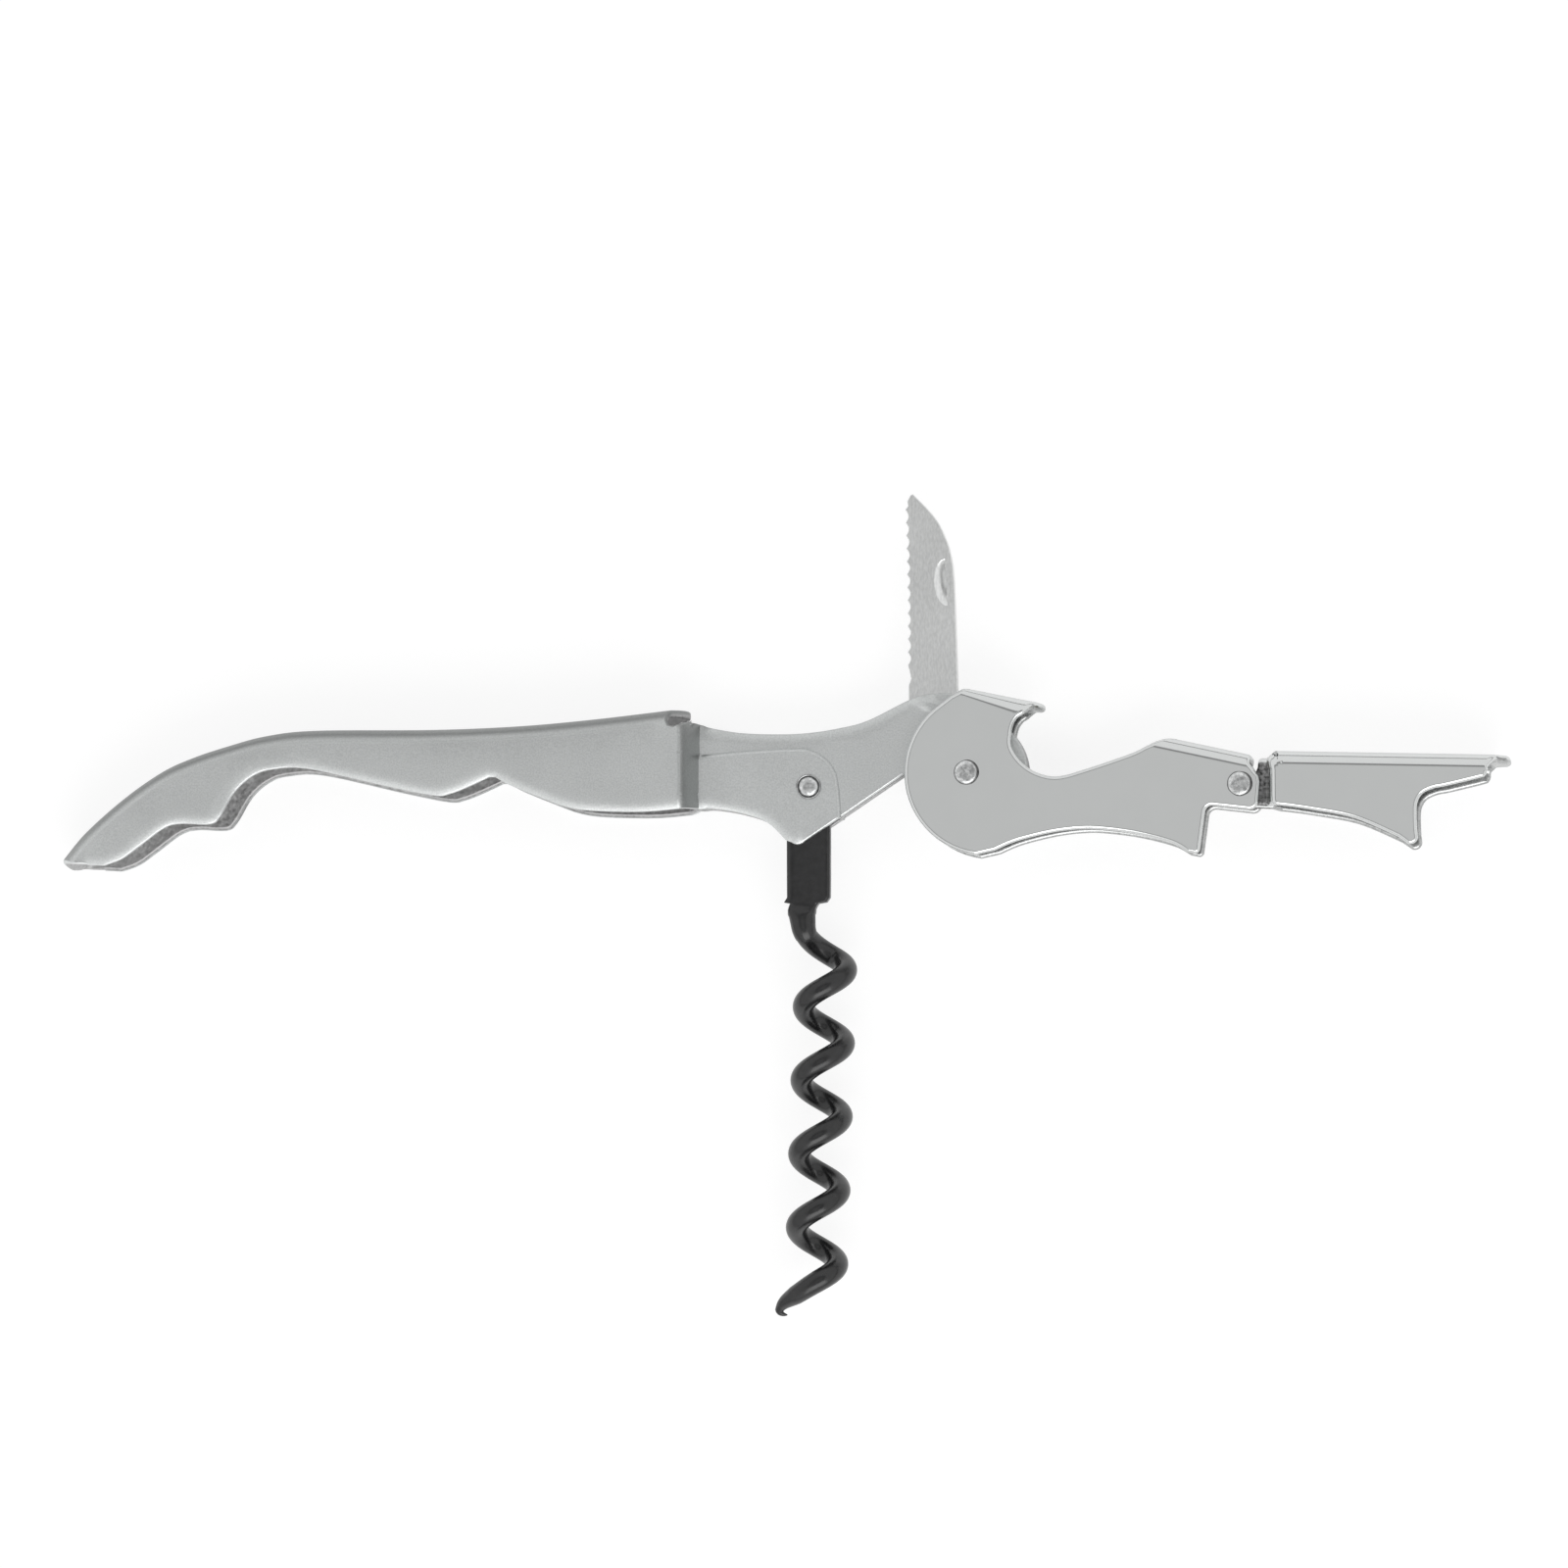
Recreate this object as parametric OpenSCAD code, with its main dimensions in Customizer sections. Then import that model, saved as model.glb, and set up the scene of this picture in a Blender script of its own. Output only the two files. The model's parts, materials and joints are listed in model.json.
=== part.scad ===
// Two-step lever corkscrew: a folded steel handle with a worm, a foil knife and a
// hinged lever that has two steps for the rim of a bottle.
// It lies on its flat side: X runs along the handle, Y towards the knife tip, Z up.
// Every shape is drawn round the lever rivet and moved to the resting place by place().

/* [Sheet metal] */
// Thickness of the folded sheet
sheet_t = 1.0; // [0.8:0.05:1.1]
// Outer radius of the folds in the two lever stages
fold_r = 1.8; // [1.4:0.1:2.2]

/* [Handle] */
// Lever rivet to the butt of the grip
butt_dist = 113.5; // [104:0.5:122]
// How far the back of the grip reaches past both cheeks at the butt
butt_lip = 0.6; // [0.3:0.1:0.8]
// Lever rivet to the neck, where the narrow head starts
neck_dist = 33.4; // [33:0.1:34.5]
// Length of the shoulder between grip and head
shoulder_run = 2.1; // [1.8:0.1:2.6]
// Width of the grip over both cheeks
grip_w = 10.8; // [10.4:0.1:12]
// Height of the back of the grip over the lever rivet
back_y = 6.2; // [5.8:0.1:6.8]
// Radius of the round end of the head
head_r = 7.3; // [6.8:0.1:7.8]
// How far the worm seat stands out from the rest of the head
seat_step = 0.3; // [0.2:0.05:0.4]

/* [Worm] */
// Outer diameter of the coil
worm_d = 7.8; // [7:0.1:8.2]
// Diameter of the wire
wire_d = 2.7; // [2.2:0.1:3]
// Rise of one turn
worm_pitch = 9; // [8:0.1:10]
// Number of turns
worm_turns = 5; // [4.5:0.25:5]
// Worm rivet, measured back from the lever rivet
worm_back = 19.7; // [19:0.1:20.5]
// Worm rivet, measured down from the lever rivet
worm_drop = 1.4; // [1:0.1:1.8]
// Width of the flat tang
tang_w = 5.4; // [4.6:0.1:5.6]
// Thickness of the flat tang
tang_t = 1.9; // [1.6:0.1:2.2]
// Rivet to the lower end of the flat tang
tang_len = 13.6; // [12.5:0.1:14.5]
// Rivet to the start of the coil
stem_len = 17.3; // [16:0.1:18.5]
// Lean of the coil towards the grip, in degrees
worm_lean = 1.8; // [0:0.1:2.5]

/* [Foil knife] */
// Thickness of the blade
knife_t = 1.2; // [1:0.1:1.5]
// Knife pin to the point
knife_len = 29.8; // [26:0.1:31]
// Knife pin to the spine
spine_dist = 3.1; // [2.8:0.1:3.3]
// Knife pin to the cutting edge
edge_dist = 3.0; // [2.6:0.1:3.1]
// Number of serrations
serrations = 12; // [8:1:13]
// Length of one serration
serration_pitch = 1.6; // [1.2:0.1:1.7]
// Depth of one serration
serration_depth = 0.35; // [0.2:0.05:0.5]
// Knife pin, measured back from the lever rivet
knife_back = 4.5; // [4.2:0.1:4.8]
// Knife pin, measured up from the lever rivet
knife_up = 5.0; // [4.9:0.1:5.3]

/* [Lever] */
// Width of the first stage over both cheeks
lever_w = 7.2; // [7:0.1:7.6]
// Lever rivet to step rivet, along the handle
step_dist = 33.4; // [31:0.1:36]
// Step rivet, measured down from the lever rivet
step_drop = 1.8; // [1.4:0.1:2.2]
// Lever rivet to the outside of the web over the cap hook
hook_web = 10.15; // [9.9:0.05:10.5]
// Step rivet to the outside of the web over it
step_web = 3.8; // [3.7:0.05:4]
// Width of the second stage over both cheeks
second_w = 10.4; // [10:0.1:10.8]
// Step rivet to the end of the second stage
second_len = 32.8; // [29:0.1:36]
// Step rivet to the tooth of the second stage
tooth_dist = 21.2; // [19:0.1:23]

/* [Rivets] */
// Diameter of the lever, worm and step rivets
rivet_d = 2.2; // [1.8:0.1:2.4]
// Diameter of their domed heads
rivet_head_d = 3.1; // [2.8:0.1:3.4]
// Height of their domed heads
rivet_head_h = 0.5; // [0.3:0.05:0.55]
// Diameter of the knife pin
knife_pin_d = 1.6; // [1.3:0.1:1.8]
// Outer diameter of the bushes on the lever and step rivets
bush_d = 4.4; // [3.6:0.1:4.8]
// Outer diameter of the lever washers
washer_d = 7; // [5:0.1:7.4]

/* [Fits] */
// Radial gap round a rivet, in every hole that it passes
run_gap = 0.05; // [0.03:0.01:0.08]
// Gap beside each flat piece that turns
side_gap = 0.1; // [0.05:0.01:0.15]

/* [Hidden] */
$fn = 48;
smooth = 6;      // points between two outline points on a curve
fold_steps = 7;  // flats round a fold
hair = 0.01;     // stand-off of a fold's cutter
worm_sides = 10; // sides of the coiled wire
worm_rings = 24; // rings in one turn

// Widths, from the middle outwards. Each half width is measured from the centre plane.
head_in = knife_t / 2 + side_gap;
head_out = head_in + sheet_t;
seat_in = max(tang_t / 2 + side_gap, head_in + seat_step);
seat_out = seat_in + sheet_t;
lever_out = lever_w / 2;
lever_in = lever_out - sheet_t;
grip_out = grip_w / 2;
grip_in = grip_out - sheet_t;
root_out = lever_in - side_gap;
root_in = root_out - sheet_t;
second_out = second_w / 2;
second_in = second_out - sheet_t;

// Places, from the lever rivet.
worm_at = [-worm_back, -worm_drop];
knife_at = [-knife_back, knife_up];
step_at = [step_dist, -step_drop];
neck = -neck_dist;
grip_start = neck - shoulder_run;
butt = -butt_dist;
cheek_end = butt + butt_lip;
coil_r = (worm_d - wire_d) / 2;
coil_len = worm_turns * worm_pitch;
tip_drop = 2.4;  // the straight point hangs this far under the last turn

// The box that holds the part, for its resting place.
low_y = worm_at.y - stem_len - coil_len - tip_drop;
high_y = knife_at.y + knife_len;
high_x = step_at.x + second_len;
row_at = [-(butt + high_x) / 2, -(low_y + high_y) / 2, grip_out];

module place() { translate(row_at) children(); }

// A smooth curve through a list of points.
function knot(a, b, c, d, t) = 0.5 * (2 * b + (c - a) * t
    + (2 * a - 5 * b + 4 * c - d) * t * t + (3 * b - a - 3 * c + d) * t * t * t);
function curve(p, last = 1) = let (n = len(p)) [
    for (i = [0 : n - 2]) for (k = [0 : smooth - 1])
        knot(p[max(i - 1, 0)], p[i], p[i + 1], p[min(i + 2, n - 1)], k / smooth),
    if (last) p[n - 1]];
function backwards(p) = [for (i = [len(p) - 1 : -1 : 0]) p[i]];
function arc(centre, r, from, to, n = 16) =
    [for (i = [0 : n]) let (a = from + (to - from) * i / n) centre + r * [cos(a), sin(a)]];
// A list of points pushed sideways by d, to the right of its direction.
function pushed(p, d) = [for (i = [0 : len(p) - 1])
    let (v = p[min(i + 1, len(p) - 1)] - p[max(i - 1, 0)], u = v / norm(v)) p[i] + d * [u.y, -u.x]];

// A plate between two heights, and the same plate on both sides of the centre plane.
module plate(z0, z1) { translate([0, 0, z0]) linear_extrude(z1 - z0) children(); }
module plates(z0, z1) { plate(z0, z1) children(); plate(-z1, -z0) children(); }
module bore(at, d) {
    translate([at.x, at.y, -grip_w]) cylinder(d = d + 2 * run_gap, h = 2 * grip_w);
}
// A strip drawn in plan, x against z, cut right through along Y, on both sides.
module plan_strips(points) {
    for (s = [-1, 1])
        rotate([90, 0, 0]) translate([0, 0, -2 * butt_dist])
            linear_extrude(4 * butt_dist) polygon([for (q = points) [q.x, s * q.y]]);
}
// What a fold takes off both edges of a block whose top runs from one point to another.
// The cutter stands a hair off both faces, so that none of its own faces lies in them.
module fold(from, to, w) {
    v = to - from;
    side = w / 2 + hair;
    corner = concat([[side + 1, 1], [side - fold_r, 1]],
        arc([side - fold_r, hair - fold_r], fold_r, 90, 0, fold_steps),
        [[side + 1, hair - fold_r]]);
    for (s = [-1, 1])
        translate([from.x, from.y, 0]) rotate([0, 0, atan2(v.y, v.x)]) rotate([0, -90, 180])
            linear_extrude(norm(v)) polygon([for (q = corner) [s * q.x, -q.y]]);
}

// ---- Handle ----
// The outline of the grip is drawn at one length, and stretched to the length that is set.
// Its points are counted from the butt or from the neck, whichever end they belong to.
drawn_len = 77.4;
stretch = (grip_start - cheek_end) / drawn_len;
function from_butt(points) = [for (q = points) [cheek_end + stretch * q.x, q.y]];
function from_neck(points) = [for (q = points) [grip_start - stretch * q.x, q.y]];
// Back of the grip, from the butt to the neck, and its finger side the other way.
grip_back = curve(concat(
    from_butt([[0, -9.8], [3.3, -6.4], [8.1, -2.5], [12.8, 0.8], [16.6, 2.5], [20.7, 4.2],
        [25.5, back_y - 0.6], [31.8, back_y], [46.5, back_y - 0.1]]),
    from_neck([[20.1, back_y + 0.2], [10.8, back_y + 0.9]]), [[grip_start - 1.1, back_y + 1.9]]));
grip_fingers = concat(
    curve(from_neck([[0, -4.1], [4.4, -4.4], [10.6, -4.2], [13.8, -3.7], [16.8, -2.6],
        [20.9, -0.9], [23.1, 0.3]]), 0),
    curve(concat(from_neck([[23.1, 0.3], [26.2, -1.1], [28.4, -1.9], [30.3, -2.1]]),
        from_butt([[41.7, -1], [31.3, 1.4], [26.6, 1.4], [24.1, 0.6], [21.9, -1.3], [20, -4.4],
            [18.7, -5.3], [15.2, -5.2], [13, -5.5], [9.9, -7.1], [5.8, -10.2], [3.5, -10.6],
            [0.8, -10]]))));
// The back alone reaches past the cheeks at both ends: a short tongue at the neck, cut free
// of the cheeks by a slot, and a lip at the butt.
tongue_y = back_y + 1.9;
tongue_end = neck - 1.2;
slot_w = 0.3;
lip_out = 3;     // half width of the lip
lip_way = (grip_back[0] - grip_back[1]) / abs(grip_back[0].x - grip_back[1].x);
lip = [grip_back[0] + butt_lip * lip_way, grip_back[0], grip_back[1]];
// Head: concave top, stop for the lever, round end, chin under the worm rivet.
head_top = curve([[grip_start - 1.1, 7], [neck, 6.4], [neck + 2.3, 5.9], [neck + 5.4, 5.4],
    [neck + 9.7, 5.2], [neck + 13.4, 5.3], [neck + 17.1, 5.8], [-12.6, 6.7], [-7.6, 9.1],
    [-5.2, 9.9]], 1);
chin = worm_at + [-1, -7.1];
head_chin = concat(
    curve([chin + [-0.8, 0.1], [neck + 8.5, -5.7], [neck + 5.5, -4.6], [neck + 2.3, -4],
        [neck, -3.9], [grip_start, -4.1]], 1));
chin_side = [chin + [0.9, 0.3], [-head_r + 0.2, 0.5]];
// The seat round the worm rivet, pressed outwards so that the tang fits inside.
seat_top = 2.5;
seat_right = worm_at.x + 3.8;
seat_shape = concat([[grip_start - 0.1, seat_top - 0.2]],
    arc([seat_right - 3.2, seat_top - 2.9], 3.2, 90, 0, 8),
    [[seat_right + 0.3, -20], [grip_start - 0.1, -20]]);
stop_x = -1.7;

module grip_side() { polygon(concat(grip_back, [[grip_start, 7]], grip_fingers)); }
module head_side() {
    polygon(concat(head_top, [[stop_x, 10], [stop_x + 0.4, head_r - 0.4], [0, 0]],
        backwards(chin_side), [chin + [0, -0.1]], head_chin));
    circle(head_r, $fn = 64);
}
module seat_area() { polygon(seat_shape); }

module handle() {
    color("#b9bdbc") place() difference() {
        union() {
            plates(grip_in, grip_out) grip_side();
            // The back of the grip.
            plate(-grip_in, grip_in) intersection() {
                polygon(concat(grip_back, backwards(pushed(grip_back, sheet_t))));
                translate([2 * butt, -50]) square([-2 * butt + grip_start - 1.1, 100]);
            }
            plate(-grip_in + slot_w, grip_in - slot_w)
                polygon([[grip_start - 1.6, tongue_y - sheet_t], [grip_start - 1.6, tongue_y - 0.1],
                    [tongue_end, tongue_y + 0.1], [tongue_end, tongue_y + 0.1 - sheet_t]]);
            plate(-lip_out, lip_out) polygon(concat(lip, backwards(pushed(lip, sheet_t))));
            // The shoulders, where both cheeks step in.
            shoulder(head_in, head_out) difference() { head_side(); seat_area(); }
            shoulder(seat_in, seat_out) intersection() { head_side(); seat_area(); }
            plates(head_in, head_out) intersection() {
                difference() { head_side(); seat_area(); }
                translate([neck, -50]) square([2 * butt_dist, 100]);
            }
            plates(seat_in, seat_out) intersection() {
                head_side();
                seat_area();
                translate([neck, -50]) square([2 * butt_dist, 100]);
            }
        }
        bore([0, 0], rivet_d);
        bore(worm_at, rivet_d);
        bore(knife_at, knife_pin_d);
    }
}
// The part of a side shape between grip and neck, as two slanted strips of sheet.
module shoulder(z0, z1) {
    intersection() {
        plate(-grip_out, grip_out) children();
        plan_strips([[grip_start - 0.2, grip_out], [grip_start, grip_out], [neck, z1],
            [neck, z0], [grip_start, grip_in], [grip_start - 0.2, grip_in]]);
    }
}

// ---- Worm ----
stem_x = worm_at.x - 0.8;
tang_left = worm_at.x - tang_w / 2;
tang_low = worm_at.y - tang_len;
module tang_side() {
    translate(worm_at) circle(d = tang_w - 0.4);
    polygon(concat([[tang_left, worm_at.y - 3.5], [tang_left + 0.2, worm_at.y]],
        [[tang_left + tang_w - 0.2, worm_at.y], [tang_left + tang_w, worm_at.y - 3.5]],
        curve([[tang_left + tang_w, tang_low + 0.8], [tang_left + tang_w - 0.8, tang_low],
            [stem_x + 1.3, tang_low - 1], [stem_x + 1.2, tang_low - 2.4]]),
        [[stem_x - 1.1, tang_low - 2.4], [tang_left + 0.3, tang_low]]));
}
// Middle of the wire: down the stem, round the coil from its left side, then a straight point.
coil_top = worm_at.y - stem_len;
coil_mid = worm_at.x - 0.6 + coil_r;
function lean_at(y) = (coil_top - y) * tan(worm_lean);
function coil_point(turn) = let (y = coil_top - turn * worm_pitch, a = -90 - 360 * turn)
    [coil_mid + coil_r * sin(a) - lean_at(y), y, coil_r * cos(a)];
coil_end = coil_point(worm_turns);
coil_way = coil_end - coil_point(worm_turns - 0.01);
point_len = tip_drop / abs(coil_way.y) * norm(coil_way);
wire_path = concat(
    [for (k = [0 : 3]) [stem_x, coil_top + 3 - k, 0]],
    [for (k = [1 : ceil(worm_turns * worm_rings)]) coil_point(min(k / worm_rings, worm_turns))],
    [for (k = [1 : 4]) coil_end + coil_way / norm(coil_way) * point_len * k / 4 + [-0.05 * k * k, 0, 0]]);
wire_n = len(wire_path);
function wire_r(i) = i < 3 ? wire_d / 2 * (0.6 + 0.15 * i)
    : i > wire_n - 11 ? wire_d / 2 * (wire_n - i + 1) / 12.5 : wire_d / 2;
function wire_ring(i) = let (
        v = wire_path[min(i + 1, wire_n - 1)] - wire_path[max(i - 1, 0)], t = v / norm(v),
        out = wire_path[i] - [coil_mid - lean_at(wire_path[i].y), wire_path[i].y, 0],
        u0 = out - (out * t) * t, u = u0 / norm(u0), w = cross(t, u))
    [for (k = [0 : worm_sides - 1]) let (a = 360 * k / worm_sides)
        wire_path[i] + wire_r(i) * (cos(a) * u + sin(a) * w)];
module wire() {
    polyhedron(
        points = [for (i = [0 : wire_n - 1]) for (q = wire_ring(i)) q],
        faces = concat([[for (k = [0 : worm_sides - 1]) k]],
            [for (i = [0 : wire_n - 2]) for (k = [0 : worm_sides - 1])
                for (corners = let (a = i * worm_sides + k, b = i * worm_sides + (k + 1) % worm_sides)
                    [[a, a + worm_sides, b], [b, a + worm_sides, b + worm_sides]]) corners],
            [[for (k = [worm_sides - 1 : -1 : 0]) (wire_n - 1) * worm_sides + k]]));
}
module worm() {
    color("#2b2c2d") place() union() {
        difference() {
            plate(-tang_t / 2, tang_t / 2) tang_side();
            bore(worm_at, rivet_d);
        }
        wire();
    }
}

// ---- Foil knife ----
edge_x = knife_at.x - edge_dist;
spine_x = knife_at.x + spine_dist;
edge_low = knife_at.y + 8.6;
serrated = [for (i = [0 : serrations - 1]) for (k = [0 : 4])
    [edge_x - 0.2 + serration_depth * sin(36 * k),
     edge_low + (i + k / 5) * serration_pitch]];
module knife_side() {
    polygon(concat([[edge_x, edge_low - 2.5], [edge_x + 0.4, edge_low - 1.6],
            [edge_x + 0.2, edge_low - 0.8]], serrated,
        [[edge_x + 0.1, edge_low + serrations * serration_pitch],
         [edge_x + 0.3, knife_at.y + knife_len]],
        curve([[edge_x + 0.6, knife_at.y + knife_len - 0.1],
            [spine_x - 3.8, knife_at.y + knife_len - 1.8],
            [spine_x - 2.3, knife_at.y + knife_len - 3.4],
            [spine_x - 1.5, knife_at.y + knife_len - 5.2],
            [spine_x - 0.9, knife_at.y + knife_len - 7.4],
            [spine_x - 0.4, knife_at.y + knife_len - 11.5],
            [spine_x, knife_at.y + 5]]),
        arc(knife_at, edge_dist, -10, -180)));
}
nick_r = 3.7;
nick_deep = 0.35;
nick_at = [spine_x - 1.4, knife_at.y + 18.7];
module foil_knife() {
    color("#b4b6b5") place() difference() {
        plate(-knife_t / 2, knife_t / 2) knife_side();
        bore(knife_at, knife_pin_d);
        // The nail nick in the front face.
        plate(knife_t / 2 - nick_deep, knife_t) intersection() {
            translate(nick_at + [nick_r - 1.4, 0]) circle(nick_r);
            translate(nick_at + [-nick_r, -nick_r]) square([nick_r, 2 * nick_r]);
        }
    }
}
// The heads of its pin are low, because the cheeks of the lever pass over them.
knife_head_d = knife_pin_d + 0.9;
knife_head_h = lever_in - head_out - 0.55;
module knife_pin() {
    color("#8f9292") place() translate([knife_at.x, knife_at.y, 0])
        rivet_body(knife_pin_d, knife_head_d, head_out, knife_head_h);
}

// ---- Rivets ----
// A rivet with a domed head outside each face that it holds.
module rivet_body(d, head_d, reach, head_h) {
    cap_r = (head_d * head_d / 4 + head_h * head_h) / (2 * head_h);
    cylinder(d = d, h = 2 * reach, center = true);
    for (s = [0, 1]) mirror([0, 0, s]) translate([0, 0, reach]) intersection() {
        translate([0, 0, head_h - cap_r]) sphere(cap_r, $fn = 64);
        cylinder(d = head_d + 1, h = head_h + 1);
    }
}
module rivet_at(at, reach) {
    translate([at.x, at.y, 0]) rivet_body(rivet_d, rivet_head_d, reach, rivet_head_h);
}
module ring(at, d, z0, z1) {
    translate([at.x, at.y, z0]) difference() {
        cylinder(d = d, h = z1 - z0);
        translate([0, 0, -1]) cylinder(d = rivet_d + 2 * run_gap, h = z1 - z0 + 2);
    }
}
module worm_rivet() { color("#9a9d9d") place() rivet_at(worm_at, seat_out); }
module lever_rivet() { color("#9a9d9d") place() rivet_at([0, 0], lever_out); }
module step_rivet() { color("#9a9d9d") place() rivet_at(step_at, lever_out); }
module lever_bush() { color("#c9b26a") place() ring([0, 0], bush_d, -head_in, head_in); }
module step_bush() { color("#c9b26a") place() ring(step_at, bush_d, -root_in, root_in); }
module lever_washer_front() {
    color("#c7cac9") place() ring([0, 0], washer_d, head_out, lever_in - side_gap);
}
module lever_washer_back() {
    color("#c7cac9") place() ring([0, 0], washer_d, -lever_in + side_gap, -head_out);
}

// ---- Lever, first stage ----
hook_slope = -11.4;  // of the web over the hook, in degrees
step_slope = -12.7;  // of the web over the step rivet, in degrees
web_gap = 17;        // between the two webs, where the cheeks are open on top
function web_y(x, slope, at, d) = at.y + (d - (x - at.x) * sin(-slope)) / cos(slope);
function hook_y(x) = web_y(x, hook_slope, [0, 0], hook_web);
function stepweb_y(x) = web_y(x, step_slope, step_at, step_web);
foot = step_at + [-4.4, -8.4];
lever_side = concat(
    [[-1.3, 10.2], [-0.7, hook_y(-0.7)], [8.7, hook_y(8.7)], [9.4, hook_y(8.7) - 0.8],
     [8.9, hook_y(8.7) - 1.5]],
    curve([[8.1, 7], [6.5, 6.5], [5.5, 5], [5.5, 3], [6.7, 1.2], [8.6, -0.1], [11.1, -0.6],
        [14.4, 0.2], [step_at.x - 13.5, 2], [step_at.x - 10.2, 3.5]]),
    [[step_at.x - 8.5, stepweb_y(step_at.x - 8.5)],
     [step_at.x + 1.7, stepweb_y(step_at.x + 1.7)], step_at + [1.5, 1.6], step_at + [2.3, 0.4]],
    arc(step_at + [1.3, -1.9], 1, 0, -90, 5),
    arc(step_at + [-2.9, -3.6], 0.9, 90, 180, 5),
    arc(foot + [-0.6, 0.6], 0.6, 0, -90, 5),
    curve([foot + [-1.6, 0.2], foot + [-3.6, 1.3], foot + [-7.7, 2.4], foot + [-11.8, 3],
        foot + [-14.6, 3.1], [10.3, -7.5], [6.1, -8.5], [3.4, -9.6]]),
    arc([2.5, 0], 10.2, 262, 122, 18));
// Everything between the cheeks, under the two webs.
web_left = stop_x + 0.3;
lever_hollow = [[-20, -40], [-20, 30], [web_left, 30], [web_left, hook_y(web_left) - sheet_t],
    [web_gap, hook_y(web_gap) - sheet_t], [web_gap, 30], [web_gap + 4, 30],
    [web_gap + 4, stepweb_y(web_gap + 4) - sheet_t], [60, stepweb_y(60) - sheet_t], [60, -40]];
module lever_first_stage() {
    color("#c3c5c5") place() difference() {
        plate(-lever_out, lever_out) polygon(lever_side);
        plate(-lever_in, lever_in) polygon(lever_hollow);
        fold([-20, hook_y(-20)], [web_gap, hook_y(web_gap)], lever_w);
        fold([web_gap, stepweb_y(web_gap)], [60, stepweb_y(60)], lever_w);
        bore([0, 0], rivet_d);
        bore(step_at, rivet_d);
    }
}

// ---- Lever, second stage ----
second_slope = -1.9; // of its web, in degrees
second_top = 3.7;    // outside of its web over the step rivet
root_r = 2.5;
root_top = 3.3;      // outside of the short web of the root, which meets the first stage's web
root_start = 3.7;    // where the cheeks start to step out, from the step rivet
root_end = 4.6;      // where they are at their full width
function second_y(x) = step_at.y + second_top + (x - step_at.x) * tan(second_slope);
tooth = step_at + [tooth_dist, -8.2];
second_tip = step_at.x + second_len;
main_x = step_at.x + root_end;
second_side = concat(
    [[main_x, second_y(main_x)], [second_tip - 0.8, second_y(second_tip - 0.8)],
     [second_tip, second_y(second_tip) - 0.7], [second_tip - 0.3, second_y(second_tip) - sheet_t],
     [second_tip - 2.6, second_y(second_tip) - 1.6], [second_tip - 3.1, second_y(second_tip) - 2.6]],
    curve([tooth + [3, 7], tooth + [1.2, 6.6], tooth + [0, 5.4], tooth + [-0.4, 3.5],
        tooth + [-0.4, 1.6]]),
    arc(tooth + [-0.5, 0.5], 0.5, 0, -90, 5),
    curve([tooth + [-2.1, 1.1], tooth + [-7.3, 3.4], step_at + [8.7, -3.4], [main_x, step_at.y - 2.8]]));
second_hollow = [[step_at.x, second_y(step_at.x) - sheet_t],
    [second_tip + 5, second_y(second_tip + 5) - sheet_t], [second_tip + 5, -40], [step_at.x, -40]];
// The root lies between the cheeks of the first stage.
module root_side() {
    translate(step_at) circle(root_r);
    translate(step_at + [0, -root_r]) square([root_start + 0.5, 2 * root_r]);
    translate(step_at + [2.1, 0]) square([root_start - 1.6, root_top]);
}
module step_out_side() {
    translate(step_at + [root_start, -2.7]) square([root_end - root_start + 0.5, root_top + 2.7]);
}
module lever_second_stage() {
    out = second_out - 0.3;
    color("#c3c5c5") place() difference() {
        union() {
            difference() {
                plate(-second_out, second_out) polygon(second_side);
                plate(-second_in, second_in) polygon(second_hollow);
                fold([step_at.x, second_y(step_at.x)],
                    [second_tip + 5, second_y(second_tip + 5)], second_w);
            }
            plates(root_in, root_out) root_side();
            intersection() {
                plate(-out, out) step_out_side();
                plan_strips([[step_at.x + root_start - 1, root_out], [step_at.x + root_start, root_out],
                    [main_x, out], [main_x + 0.5, out], [main_x + 0.5, second_in + 0.2],
                    [step_at.x + root_start + 0.3, root_in], [step_at.x + root_start - 1, root_in]]);
            }
            // The short web of the root and the step up to the main web.
            plate(-root_out, root_out) polygon([for (q = [[2.1, root_top], [root_start, root_top],
                [root_end + 0.3, second_top - 0.2], [root_end + 0.3, second_top - 0.2 - sheet_t],
                [root_start, root_top - sheet_t], [2.1, root_top - sheet_t]]) step_at + q]);
        }
        bore(step_at, rivet_d);
    }
}

handle();
worm();
worm_rivet();
foil_knife();
knife_pin();
lever_first_stage();
lever_rivet();
lever_bush();
lever_washer_front();
lever_washer_back();
lever_second_stage();
step_rivet();
step_bush();
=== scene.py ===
# %% [markdown]
# # A two-step lever corkscrew in folded steel
#
# The tool is mostly sheet metal: a handle and two lever stages, each cut flat and folded into a channel.
# A blade, a coiled worm and three domed rivets complete it.
# This lesson makes each piece the way it is made in the workshop.
# A flat blank is cut with rounded edges, and the blank is then bent by a formula.
#
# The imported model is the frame. It fixes where every hinge is and how thick each piece may be.

# %% Load the frame
import json
import math

import bmesh
import bpy
import numpy as np
from mathutils import Matrix, Vector, geometry


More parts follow.
